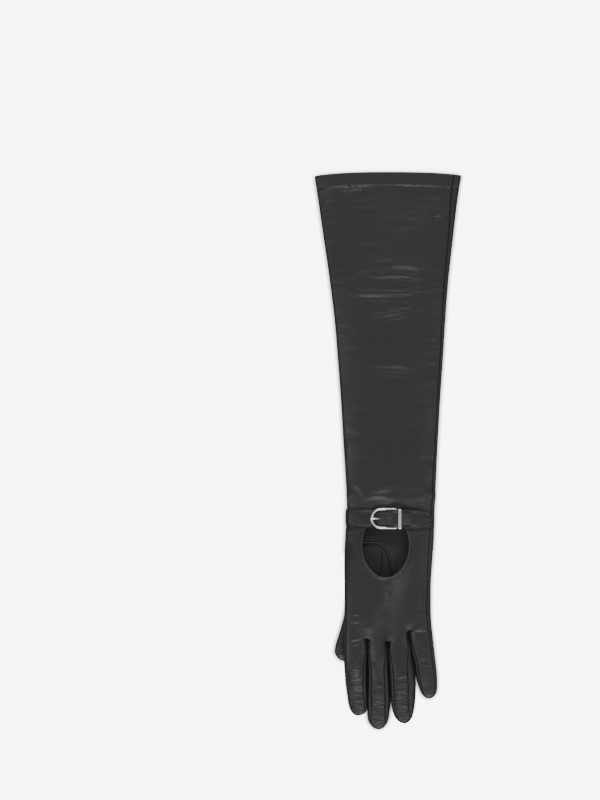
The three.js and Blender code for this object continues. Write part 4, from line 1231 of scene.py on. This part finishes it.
GLOVE_LEATHER = nappa("black_nappa", "#1d1c1c", "#252322", 0.4)
STRAP_LEATHER = nappa("black_nappa_strap", "#1c1b1b", "#232221", 0.38, grain=1.1, depth=0.08, creased=0.3)
# Lighter leather for the cut-out's rolled fold: a painted highlight along that edge.
FOLD_HIGHLIGHT_LEATHER = nappa("black_nappa_rubbed_fold", "#343231", "#403e3c", 0.4)
FLESH_SIDE = suede("nappa_flesh_side", "#232221", "#302e2d")
# Suede for the seam allowances, lighter than the flesh side: their raw cut edges, with a painted highlight
# along their tops.
RAW_EDGE_AND_HIGHLIGHT = suede("nappa_raw_edge", "#3c3b3a", "#474645")
THREAD = thread("bonded_thread")
METAL = nickel("polished_nickel")
LEATHERS = [GLOVE_LEATHER, FLESH_SIDE]


# Leather pieces
def panel_weights(points):
    """The wall is double in the hem and thins out at the very fingertips, as a share of the double wall."""
    level = hem_y(points[:, 0], points[:, 1])
    weights = np.where(level > HEM_Y - HEM_DEPTH, 1.0, 0.5)
    for finger in FINGERS:
        tip = np.clip((points[:, 1] - finger["tip"]) / 5, 0.15, 1)
        inside = in_finger(finger, points, 1, -200)
        weights = np.where(inside, np.minimum(weights, 0.5 * tip), weights)
    return weights


def back_relief(points, normals):
    x, y = points[:, 0], points[:, 1]
    facing = smooth(normals[:, 2], 0.15, 0.7)
    upper = facing * (crease_rise(x, y) + fold_rise(SWELLS, x, y))
    return upper + strap_relief(points, normals) + hem_relief(x, y)


def palm_relief(points, normals):
    x, y = points[:, 0], points[:, 1]
    off_surface = smooth(points[:, 2], 0.4, 2.0)
    under = 0.6 * crease_rise(-x, y + 6) * smooth(-normals[:, 2], 0.15, 0.7)
    return off_surface * (under + hem_relief(x, y) + strap_relief(points, normals))


def at_hem(points):
    return hem_y(points[:, 0], points[:, 1]) > HEM_Y - 0.05


def back_leather():
    points, quads = panel(True, BACK_LANE)
    points, quads = cut_ellipse(points, quads, KEYHOLE, 1.9, top_z, lambda p: p[:, 2] > 6)

    def open_rim(rim):
        across = (rim[:, 0] - KEYHOLE["x"]) / KEYHOLE["half_width"]
        along = (rim[:, 1] - KEYHOLE["y"]) / KEYHOLE["half_length"]
        return at_hem(rim) | (np.hypot(across, along) < 1.2)

    weights = panel_weights(points)
    return leather_piece(
        "back_leather", points, quads, "back_panel", back_relief, 2 * WALL, weights, open_rim
    )


def palm_leather():
    points, quads = panel(False, PALM_LANE)
    points, quads = cut_ellipse(points, quads, OPENING, -1.5, under_z, lambda p: p[:, 2] < 10)
    weights = panel_weights(points)
    return leather_piece(
        "palm_leather", points, quads, "palm_panel", palm_relief, 2 * WALL, weights, at_hem
    )


def thumb_relief(points, normals):
    x, y, z = points.T
    return 0.125 * np.sin(y * 0.9 + np.sin(x * 0.4)) * smooth(z, 1, 3) * smooth(-y, 110, 130)


def thumb_leather():
    grid, opened = thumb_sheet()
    patch = Patch()
    patch.add(grid)
    points, quads = patch.done()
    # Behind the open stretch the first and last columns are one seam.
    rows, columns = grid.shape[:2]
    numbers = np.arange(rows * columns).reshape(rows, columns)
    swap = np.arange(rows * columns)
    swap[numbers[~opened, -1]] = numbers[~opened, 0]
    used, renumbered = np.unique(swap[quads], return_inverse=True)
    quads = renumbered.reshape(quads.shape)[:, ::-1]
    points = points[used]
    weights = np.clip((points[:, 1] - THUMB_TIP) / 5, 0.2, 1)
    return leather_piece("thumb_leather", points, quads, "thumb", thumb_relief, WALL, weights)


def no_relief(points, normals):
    return np.zeros(len(points))


def fourchette(index):
    before, after = FINGERS[index]["name"], FINGERS[index + 1]["name"]
    points, quads = fork_strip(index)
    weights = np.clip((points[:, 1] - (FORKS["y"][index] - 75)) / 25, 0.5, 1)
    node = f"fourchette_{before}_{after}"
    return leather_piece(f"{node}_leather", points, quads, node, no_relief, WALL, weights)


def ring_sheet(hole, profile, height_at, divisions):
    """A band that follows an opening's edge. Profile rows are its distance outside the edge and its
    height over the leather."""
    turns = np.arange(divisions) / divisions * 2 * math.pi
    edge = ellipse_points(hole, turns)
    ahead, behind = ellipse_points(hole, turns + 1e-3), ellipse_points(hole, turns - 1e-3)
    along = (ahead - behind) / np.linalg.norm(ahead - behind, axis=1, keepdims=True)
    outward = np.stack([along[:, 1], -along[:, 0]], axis=1)
    rows = []
    for distance, height in profile:
        flat = edge + outward * distance
        rows.append(np.column_stack([flat, height_at(flat[:, 0], flat[:, 1]) + height]))
    grid = np.stack(rows)
    return np.concatenate([grid, grid[:, :1]], axis=1)


def ring_piece(name, hole, profile, height_at, material):
    """The same as a closed, smooth piece."""
    grid = ring_sheet(hole, [*profile, profile[0]], height_at, RING_DIVISIONS)
    patch = Patch()
    patch.add(grid)
    points, quads = patch.done()
    piece = laid_sheet(name, points, quads)
    close_up(piece, 0.01)
    place(piece, "glove_leather", [material])
    smooth_shading(piece, 70)
    return piece


# The turned-in edge of the cut-out: rounded at the hole, flat on top, drawn in at its line of stitches.
TURNED_EDGE = [
    (0.0, -0.6),
    (0.05, -0.15),
    (0.25, 0.25),
    (0.6, 0.48),
    (1.0, 0.45),
    (1.3, 0.1),
    (1.6, -0.1),
    (1.9, 0.1),
    (2.4, 0.5),
    (2.8, 0.5),
    (3.2, 0.1),
    (3.35, -0.4),
    (2.8, -0.95),
    (1.8, -1.3),
    (0.9, -1.35),
    (0.3, -1.1),
]
# The very fold of that edge, in a lighter leather: a painted highlight along the rolled edge.
ROLLED_FOLD = [
    (0.0, -0.4), (0.0, 0.0), (0.12, 0.35), (0.4, 0.58), (0.75, 0.6), (0.95, 0.42), (0.9, 0.0), (0.45, -0.5)
]
# The two seam allowances of the thumb opening, which stand up inside the palm, in a suede lighter than the
# flesh side: their raw cut edges, with a painted highlight along their tops.
SEAM_ALLOWANCE = [(0.15, 0.2), (0.2, 1.5), (0.5, 1.8), (0.85, 1.5), (0.95, 0.9), (1.4, 0.2)]
THUMB_ALLOWANCE = [(-2.5, 0.2), (-2.4, 1.7), (-2.1, 2.1), (-1.75, 1.7), (-1.65, 0.9), (-1.5, 0.2)]


UP, DOWN = (0, 0, 1), (0, 0, -1)
FINE_THREAD = 0.2  # radius of the stitches at the cut-out and the strap
CUT_OUT_PITCH = 2.4
STRAP_PITCH = 2.3
STITCHED_OUTSIDE = 1.6  # where the line of stitches runs outside the cut-out's edge
STITCH_SHARE = 0.74  # of the pitch; the rest is the gap between two stitches


def one_stitch(length, radius):
    """A stitch, modelled once: a bead of thread along X with rounded ends, as points and faces."""
    bead = added(
        bpy.ops.mesh.primitive_cylinder_add,
        "stitch",
        vertices=6,
        radius=radius * MM,
        depth=length * MM,
        rotation=(0, math.pi / 2, 0),
    )
    fix_place()
    corners = bead.data.vertices

    def round_an_end(edge):
        at_end = all(abs(corners[n].co.x) > length * 0.49 * MM for n in edge.vertices)
        return at_end and ends_together(bead, edge)

    pick(bead, "edges", round_an_end)
    bpy.ops.mesh.bevel(offset=radius * 0.6 * MM, segments=1, affect="EDGES")
    set_mode("OBJECT")
    points = np.array([v.co for v in bead.data.vertices]) / MM
    faces = [list(face.vertices) for face in bead.data.polygons]
    bpy.data.objects.remove(bead)
    return points, faces


def ends_together(piece, edge):
    """True where both ends of an edge have the same x."""
    first, second = (piece.data.vertices[n].co.x for n in edge.vertices)
    return abs(first - second) < 1e-7


def along_line(line, pitch):
    """Points spaced evenly along a line of points, with the directions there."""
    steps = np.linalg.norm(np.diff(line, axis=0), axis=1)
    length = np.concatenate([[0], np.cumsum(steps)])
    count = max(2, round(length[-1] / pitch))
    places = (np.arange(count) + 0.5) / count * length[-1]

    def at(spots):
        return np.stack([np.interp(spots, length, line[:, k]) for k in range(3)], axis=1)

    along = at(places + 0.2) - at(places - 0.2)
    return at(places), along / np.maximum(np.linalg.norm(along, axis=1, keepdims=True), 1e-9)


def stitching(name, slot, lines, ups, pitch, radius):
    """All the stitches along some lines. ups holds the direction out of the leather for each line."""
    shape, faces = one_stitch(pitch * STITCH_SHARE, radius)
    points, all_faces = [], []
    for line, up in zip(lines, ups):
        places, along = along_line(np.asarray(line, float), pitch)
        for spot, direction in zip(places, along):
            side = np.cross(np.array(up, float), direction)
            side /= max(np.linalg.norm(side), 1e-9)
            out = np.cross(direction, side)
            first = len(points) * len(shape)
            points.append(spot + shape @ np.stack([direction, side, out]))
            all_faces += [[n + first for n in face] for face in faces]
    piece = laid_sheet(name, np.vstack(points), all_faces)
    place(piece, slot, [THREAD])
    smooth_shading(piece, 70)
    return piece


def surface_tree(*pieces):
    """Finds the topmost point of some pieces over a place, in millimetres."""
    trees = []
    for piece in pieces:
        corners = [v.co for v in piece.data.vertices]
        trees.append(BVHTree.FromPolygons(corners, [f.vertices for f in piece.data.polygons]))

    def over(x, y, from_above=True):
        best = None
        for tree in trees:
            start, way = (0.1, -1) if from_above else (-0.01, 1)
            hit, normal, _, _ = tree.ray_cast(Vector((x * MM, y * MM, start)), Vector((0, 0, way)))
            if hit is not None and (best is None or (hit.z > best[0].z) == from_above):
                best = (hit, normal)
        return (np.array(best[0]) / MM, np.array(best[1])) if best else None

    return over


back = back_leather()
palm = palm_leather()
thumb_leather()
for index in range(len(FORKS["x"])):
    fourchette(index)
cut_out_edge = ring_piece("cut_out_edge", KEYHOLE, TURNED_EDGE, top_z, GLOVE_LEATHER)
ring_piece("cut_out_fold", KEYHOLE, ROLLED_FOLD, top_z, FOLD_HIGHLIGHT_LEATHER)
ring_piece("palm_seam_allowance", OPENING, SEAM_ALLOWANCE, under_z, RAW_EDGE_AND_HIGHLIGHT)
ring_piece("thumb_seam_allowance", OPENING, THUMB_ALLOWANCE, under_z, RAW_EDGE_AND_HIGHLIGHT)


def hem_stitches():
    """Both layers of the sleeve are stitched along the hem's line, all the way round."""
    over = surface_tree(back, palm)
    lines = []
    level = HEM_Y - HEM_DEPTH
    section = body_section(np.array([level]))
    left, right = float(section["left"][0]) + 2.2, float(section["right"][0]) - 1.2
    for from_above in (True, False):
        line = []
        for x in np.linspace(left, right, 160):
            y = level - float(hem_bow(level, x / right))
            hit = over(x, y, from_above)
            if hit:
                spot = hit[0] + hit[1] * 0.02
                line.append([spot[0], spot[1], max(spot[2], HEM_THREAD + ON_TABLE)])
        lines.append(line)
    return stitching("hem_stitching", "glove_leather", lines, [UP, DOWN], HEM_PITCH, HEM_THREAD)


def cut_out_stitches():
    over = surface_tree(cut_out_edge, back)
    turns = np.linspace(0, 2 * math.pi, 240)
    edge = ellipse_points(KEYHOLE, turns, STITCHED_OUTSIDE)
    line = [over(x, y)[0] for x, y in edge]
    return stitching("cut_out_stitching", "glove_leather", [line], [UP], CUT_OUT_PITCH, FINE_THREAD)


# Strap and buckle
UPPER_SIDE = -0.4  # what lies higher on a flat strap belongs to its upper side


def strip_blank(name, length, half_at, thickness):
    """A strap cut flat from 0 along +X, its upper side at z 0. half_at gives its half width."""
    rows, columns = max(2, round(length / 0.7)), 26
    blank = added(
        bpy.ops.mesh.primitive_grid_add, name, x_subdivisions=rows, y_subdivisions=columns, size=2
    )
    for vertex in blank.data.vertices:
        along = (vertex.co.x + 1) / 2 * length
        across = math.sin(vertex.co.y * math.pi / 2) * 0.35 + vertex.co.y * 0.65
        vertex.co = Vector((along, across * half_at(along), 0)) * MM
    finish_modifier(blank, "SOLIDIFY", thickness=thickness * MM, offset=-1)
    finish_modifier(
        blank, "BEVEL", width=0.3 * MM, segments=3, limit_method="ANGLE", angle_limit=math.radians(50)
    )
    return blank


def edge_slant(along, half_at):
    """How much longer a flat strap's edge is than its middle line there."""
    return math.hypot(1, half_at(along - 0.5) - half_at(along + 0.5))


def press_edge(piece, half_at, inset, depth):
    """Draws in a flat strap's upper side along its edge stitches, and pads it inside them."""
    for vertex in piece.data.vertices:
        if vertex.co.z < UPPER_SIDE * MM:
            continue
        along, across = vertex.co.x / MM, vertex.co.y / MM
        inside = (half_at(along) - abs(across)) / edge_slant(along, half_at) - inset
        drawn = depth * math.exp(-((inside / 0.5) ** 2))
        padded = 0.3 * (1 - math.exp(-max(0, inside) / 1.8))
        vertex.co.z += (padded - drawn) * MM


def punch(piece, along, half_length, half_width):
    """Punches a round-ended hole through a flat strap."""
    cutter = added(
        bpy.ops.mesh.primitive_cylinder_add,
        "punch",
        vertices=28,
        radius=1,
        depth=8 * MM,
        location=in_metres(along, 0, 0),
    )
    cutter.scale = in_metres(half_length, half_width, 1000)
    fix_place()
    finish_modifier(piece, "BOOLEAN", operation="DIFFERENCE", object=cutter, solver="EXACT")
    bpy.data.objects.remove(cutter)


def path_lengths(path):
    return np.concatenate([[0], np.cumsum(np.hypot(*np.diff(path, axis=0).T))])


def lay(piece, path, drift):
    """Lays a flat strap on a path of rows (x, z). drift is how far it strays from its line at x."""
    length = path_lengths(path)
    flat = np.array([v.co for v in piece.data.vertices]) / MM
    along = np.clip(flat[:, 0], 0, length[-1])

    def at_place(places):
        return np.stack(
            [np.interp(np.clip(places, 0, length[-1]), length, path[:, k]) for k in (0, 1)], axis=1
        )

    spots, way = at_place(along), at_place(along + 0.4) - at_place(along - 0.4)
    way /= np.maximum(np.linalg.norm(way, axis=1, keepdims=True), 1e-9)
    x, z = spots[:, 0] - flat[:, 2] * way[:, 1], spots[:, 1] + flat[:, 2] * way[:, 0]
    laid = np.stack([x, STRAP["y"] + flat[:, 1] + drift(spots[:, 0]), z], axis=1)
    piece.data.vertices.foreach_set("co", (laid * MM).astype(np.float32).ravel())
    piece.data.update()


def long_path():
    """The long strap's upper side, from where it is sewn in under the thumb-side edge to its point."""
    y = np.full(60, float(STRAP["y"]))
    section = body_section(y)
    start, end = radial_seam(section)[0] * 0.4, turn_over(section, -33.0)[0]
    turns = np.linspace(start, end, 60)
    step = 1e-3
    along = skin(section, turns + step) - skin(section, turns - step)
    out = np.stack([-along[:, 2], along[:, 0]], axis=1)
    out /= np.linalg.norm(out, axis=1, keepdims=True)
    sunk = STRAP["sinks"] * smooth(np.abs(out[:, 0]), 0.3, 0.85)
    lifted = LIFT_GAP + 0.1 + STRAP["thickness"] - sunk
    wrapped = skin(section, turns)[:, [0, 2]] + out * lifted[:, None]
    xs = np.linspace(-30.5, STRAP["tip"], 160)
    straight = np.stack([xs, deck(xs) + column(LONG_RISE, "rise", xs) + STRAP["thickness"]], axis=1)
    return np.vstack([wrapped, straight])


def long_drift(x):
    return STRAP["drift"] * smooth(x, 8, STRAP["tip"])


def strap_long():
    path = long_path()
    lengths = path_lengths(path)
    length = lengths[-1]
    top = path[:, 0] > -34

    def at_x(x):
        return float(np.interp(x, path[top, 0], lengths[top]))

    def half_at(along):
        from_point = min(1, max(0, length - along) / STRAP["point"])
        return max(0.5, STRAP["half"] * (1 - (1 - from_point) ** 2.1))

    piece = strip_blank("strap_long_leather", length, half_at, STRAP["thickness"])
    press_edge(piece, half_at, STRAP["edge_stitch"], 0.5)
    punch(piece, at_x(PRONG_HOLE["x"]), PRONG_HOLE["half_length"], PRONG_HOLE["half"])
    punch(piece, at_x(SPARE_HOLE["x"]), SPARE_HOLE["radius"], SPARE_HOLE["radius"])
    for vertex in piece.data.vertices:
        inside = math.exp(-(((vertex.co.x / MM - at_x(-2)) / 8) ** 4))
        x, y = vertex.co.x, vertex.co.y
        dent = math.sin(x * 1400 + 2 * math.sin(y * 900)) * math.sin(y * 1100 + x * 500)
        vertex.co.z += 0.14 * dent * inside * MM * (vertex.co.z > UPPER_SIDE * MM)
    lay(piece, path, long_drift)
    place(piece, "strap_leather", [STRAP_LEATHER], "strap_long")
    points = np.array([v.co for v in piece.data.vertices]) / MM
    mark_wrinkles(piece, points, STRAP_WRINKLED)
    smooth_shading(piece, 40)
    # The line of stitches inside its edge goes round the point.
    alongs = np.linspace(2, length - 3.2, 120)
    edges = [half_at(a) - STRAP["edge_stitch"] * edge_slant(a, half_at) for a in alongs]
    upper = np.stack([alongs, np.array(edges), np.full(120, -0.1)], axis=1)
    line = np.vstack([upper, upper[::-1] * (1, -1, 1)])
    sewing = stitching("strap_stitching", "strap_leather", [line], [UP], STRAP_PITCH, FINE_THREAD)
    lay(sewing, path, long_drift)


def short_path():
    """The short strap's outer side: its end on top, round the bar, and back under to the seam."""
    thickness = SHORT_STRAP["thickness"]
    bar = BUCKLE["bar"]
    bar_z = float(deck(bar)) + BUCKLE["rise"]
    loop = BUCKLE["wire"] + BUCKLE["loop"]
    upper_x = np.linspace(SHORT_STRAP["return"], bar + 0.6, 14)
    settled = smooth(upper_x, bar, SHORT_STRAP["return"])
    low = deck(upper_x) + column(SHORT_RISE, "rise", upper_x) + 2 * thickness + LIFT_GAP
    upper = np.stack([upper_x, mix(bar_z + loop + thickness, low, settled)], axis=1)
    turns = np.linspace(math.pi / 2, 3 * math.pi / 2, 24)
    around = np.stack(
        [bar + (loop + thickness) * np.cos(turns), bar_z + (loop + thickness) * np.sin(turns)], axis=1
    )
    under_x = np.linspace(SHORT_RISE["y"][-1], SHORT_STRAP["start"], 60)
    under = np.stack([under_x, deck(under_x) + column(SHORT_RISE, "rise", under_x)], axis=1)
    return np.vstack([upper, around, under])


def strap_short():
    path = short_path()
    lengths = path_lengths(path)
    piece = strip_blank(
        "strap_short_leather", lengths[-1], lambda along: SHORT_STRAP["half"], SHORT_STRAP["thickness"]
    )
    punch(piece, lengths[25], 5, PRONG["slot_half"])
    # Its outer side is the one away from the bar, so it is turned over before it is laid.
    piece.rotation_euler = (math.pi, 0, 0)
    select_only(piece)
    fix_place()
    lay(piece, path, lambda x: SHORT_STRAP["drift"] * smooth(x, 13, 22))
    place(piece, "strap_leather", [STRAP_LEATHER], "strap_short")
    smooth_shading(piece, 40)


def buckle_frame():
    """Horseshoe frame: a wire drawn along one arm, spun round the curve and on, and its bar."""
    bar, curve, half, arm_end, wire = (BUCKLE[name] for name in ("bar", "curve", "half", "arm_end", "wire"))
    y, z = STRAP["y"] + BUCKLE["drift"], float(deck(bar)) + BUCKLE["rise"]
    first = in_metres(arm_end, y + half, z)
    arm = (arm_end - curve - half) * MM
    frame_wire = added(
        bpy.ops.mesh.primitive_circle_add,
        "buckle_frame_metal",
        vertices=24,
        radius=wire * MM,
        location=first,
        rotation=(0, math.pi / 2, 0),
    )
    fix_place()
    set_mode("EDIT")
    bpy.ops.mesh.select_all(action="SELECT")
    bpy.ops.transform.resize(value=(1, 1, BUCKLE["flat"]), center_override=first)
    bpy.ops.mesh.extrude_region_move(TRANSFORM_OT_translate={"value": (-arm, 0, 0)})
    bpy.ops.mesh.spin(steps=36, angle=-math.pi, center=in_metres(curve + half, y, z), axis=(0, 0, 1))
    bpy.ops.mesh.extrude_region_move(TRANSFORM_OT_translate={"value": (arm, 0, 0)})
    set_mode("OBJECT")
    close_up(frame_wire)
    # Both arms end in a slanted cut, shorter inside.
    for side in (1, -1):
        pick(
            frame_wire,
            "vertices",
            lambda v: v.co.x > (arm_end - 0.05) * MM and (v.co.y - y * MM) * side > 0,
        )
        centre = in_metres(arm_end, y + side * half, z)
        bpy.ops.transform.rotate(value=side * math.radians(28), orient_axis="Z", center_override=centre)
        set_mode("OBJECT")
    finish_modifier(
        frame_wire, "BEVEL", width=0.18 * MM, segments=3, limit_method="ANGLE", angle_limit=math.radians(50)
    )
    rod = added(
        bpy.ops.mesh.primitive_cylinder_add,
        "buckle_bar",
        vertices=24,
        radius=0.85 * wire * MM,
        depth=2 * half * MM,
        location=in_metres(bar, y, z),
        rotation=(math.pi / 2, 0, 0),
    )
    fix_place()
    select_only(rod, frame_wire)
    bpy.ops.object.join()
    place(frame_wire, "buckle_metal", [METAL], "buckle_frame")
    smooth_shading(frame_wire, 60)


def buckle_prong():
    """The prong: a wire drawn out from the bar, turned a little at each step, and its eye round the bar."""
    y, base = STRAP["y"] + BUCKLE["drift"], float(deck(BUCKLE["bar"]))
    knots = np.linspace(0, 1, len(PRONG_PATH["x"]))
    shape = {"y": 1 - knots, "x": PRONG_PATH["x"], "rise": PRONG_PATH["rise"]}
    shares = 1 - np.linspace(0, 1, 34)
    spots = np.stack([column(shape, "x", shares), base + column(shape, "rise", shares)], axis=1)
    steps = np.diff(spots, axis=0)
    turns = np.unwrap(np.arctan2(steps[:, 1], steps[:, 0]))
    wire = PRONG["wire"]
    stem = added(
        bpy.ops.mesh.primitive_circle_add,
        "prong_metal",
        vertices=16,
        radius=wire * MM,
        location=in_metres(spots[0, 0], y, spots[0, 1]),
        rotation=(0, math.pi / 2 - turns[0], 0),
    )
    fix_place()
    set_mode("EDIT")
    bpy.ops.mesh.select_all(action="SELECT")
    for n, (dx, dz) in enumerate(steps):
        bpy.ops.mesh.extrude_region_move(TRANSFORM_OT_translate={"value": in_metres(dx, 0, dz)})
        centre = in_metres(spots[n + 1, 0], y, spots[n + 1, 1])
        if n + 1 < len(turns):
            bpy.ops.transform.rotate(value=turns[n + 1] - turns[n], orient_axis="Y", center_override=centre)
        if n > len(steps) - 3:
            bpy.ops.transform.resize(value=(1, 0.9, 0.8), center_override=centre)
    set_mode("OBJECT")
    close_up(stem)
    eye = added(
        bpy.ops.mesh.primitive_torus_add,
        "prong_eye",
        major_radius=(BUCKLE["wire"] + BUCKLE["loop"] + wire) * MM,
        minor_radius=wire * MM,
        major_segments=32,
        minor_segments=14,
        location=in_metres(BUCKLE["bar"], y, base + BUCKLE["rise"]),
        rotation=(math.pi / 2, 0, 0),
    )
    fix_place()
    select_only(eye, stem)
    bpy.ops.object.join()
    place(stem, "buckle_metal", [METAL], "buckle_prong")
    smooth_shading(stem, 60)


def keeper():
    """The keeper: a flat band of plated strip bent round both straps, its edges broken."""
    x, width, half, band, top = (KEEPER[name] for name in ("x", "width", "half", "band", "top"))
    low, high = float(deck(x)) + LIFT_GAP, float(deck(x)) + top
    middle = in_metres(x + width / 2, STRAP["y"] + KEEPER["drift"], (low + high) / 2)
    piece = added(bpy.ops.mesh.primitive_cube_add, "keeper_metal", size=1, location=middle)
    piece.dimensions = in_metres(width, 2 * half, high - low)
    fix_place()
    pick(piece, "polygons", lambda face: abs(face.normal.x) > 0.9)
    bpy.ops.mesh.delete(type="ONLY_FACE")
    set_mode("OBJECT")
    pick(piece, "edges", lambda edge: not ends_together(piece, edge))
    bpy.ops.mesh.bevel(offset=KEEPER["corner"] * MM, segments=6, affect="EDGES")
    set_mode("OBJECT")
    finish_modifier(piece, "SOLIDIFY", thickness=band * MM, offset=-1)
    finish_modifier(
        piece, "BEVEL", width=0.24 * MM, segments=3, limit_method="ANGLE", angle_limit=math.radians(40)
    )
    place(piece, "buckle_metal", [METAL], "strap_keeper")
    smooth_shading(piece, 40)


hem_stitches()
cut_out_stitches()
strap_long()
strap_short()
buckle_frame()
buckle_prong()
keeper()


# Floor, light and camera
TABLE_GLOW = 6.3  # emission strength
CONTACT_SHADE = 4 * MM  # width of the shade along the glove's edge
CONTACT_POWER = 5
ROOM_LIGHT = 0.31
SOFTBOXES = [
    ("overhead_softbox", (5.0, 5.0), 24, (0, 0, 2.9)),
    ("key_softbox", (2.2, 0.8), 66, (0.1, 2.1, 1.9)),
    ("front_softbox", (2.2, 0.8), 61, (0.1, -2.3, 1.9)),
    ("left_softbox", (0.8, 1.6), 20, (-2.2, -0.6, 1.7)),
    ("right_softbox", (0.8, 1.6), 13, (2.2, -0.6, 1.7)),
]
PICTURE = (600, 800)
PIXEL = 0.92 * MM  # one pixel of the picture on the table
ORIGIN = (388.2, 451.2)  # where the frame's origin lies in the picture, in pixels
FOCAL, SENSOR = 100, 36
PICTURE_PLANE = 8 * MM  # height at which a pixel has that size, half way up the glove


def backdrop():
    """A plain pale table that glows, so that it stays even, with a painted contact shadow along the glove's
    edge. It throws no light on the leather.
    """
    floor = added(bpy.ops.mesh.primitive_plane_add, "floor", size=60, location=(0, 0, -0.05 * MM))
    material, shader = new_material("matt_white_table", Base_Color=linear("#f1f1f1"), Roughness=0.9)
    shader.inputs["Emission Color"].default_value = linear("#ffffff")
    # Painted contact shadow: ambient occlusion dims the glow in the last few millimetres under the glove's
    # edge, as light dies away in a narrow gap.
    gap = add_node(material, "ShaderNodeAmbientOcclusion", {"samples": 12}, Distance=CONTACT_SHADE)
    painted_contact_shadow = add_node(
        material, "ShaderNodeMath", {"operation": "POWER"}, _0=gap.outputs["AO"], _1=CONTACT_POWER
    )
    glow = add_node(
        material, "ShaderNodeMath", {"operation": "MULTIPLY"}, _0=painted_contact_shadow.outputs["Value"], _1=TABLE_GLOW
    )
    join(material, glow.outputs["Value"], shader, "Emission Strength")
    floor.data.materials.append(material)
    floor.visible_glossy = False
    floor.visible_diffuse = False


def soft_light(name, size, strength, place_at, aim):
    light = bpy.data.lights.new(name, "AREA")
    light.shape = "RECTANGLE"
    light.size, light.size_y = size
    light.energy = strength
    lamp = bpy.data.objects.new(name, light)
    bpy.context.scene.collection.objects.link(lamp)
    lamp.location = place_at
    lamp.rotation_euler = (Vector(aim) - Vector(place_at)).to_track_quat("-Z", "Y").to_euler()


def studio():
    world = bpy.data.worlds.new("studio")
    world.use_nodes = True
    world.node_tree.nodes["Background"].inputs["Color"].default_value = linear("#ffffff")
    world.node_tree.nodes["Background"].inputs["Strength"].default_value = ROOM_LIGHT
    bpy.context.scene.world = world
    for name, size, strength, place_at in SOFTBOXES:
        soft_light(name, size, strength, place_at, (0, 0, 0))


def camera():
    view = bpy.data.cameras.new("camera")
    view.lens, view.sensor_width = FOCAL, SENSOR
    lens = bpy.data.objects.new("camera", view)
    bpy.context.scene.collection.objects.link(lens)
    wide, tall = PICTURE
    distance = tall * PIXEL * FOCAL / SENSOR + PICTURE_PLANE
    lens.location = ((wide / 2 - ORIGIN[0]) * PIXEL, (ORIGIN[1] - tall / 2) * PIXEL, distance)
    bpy.context.scene.camera = lens


backdrop()
studio()
camera()
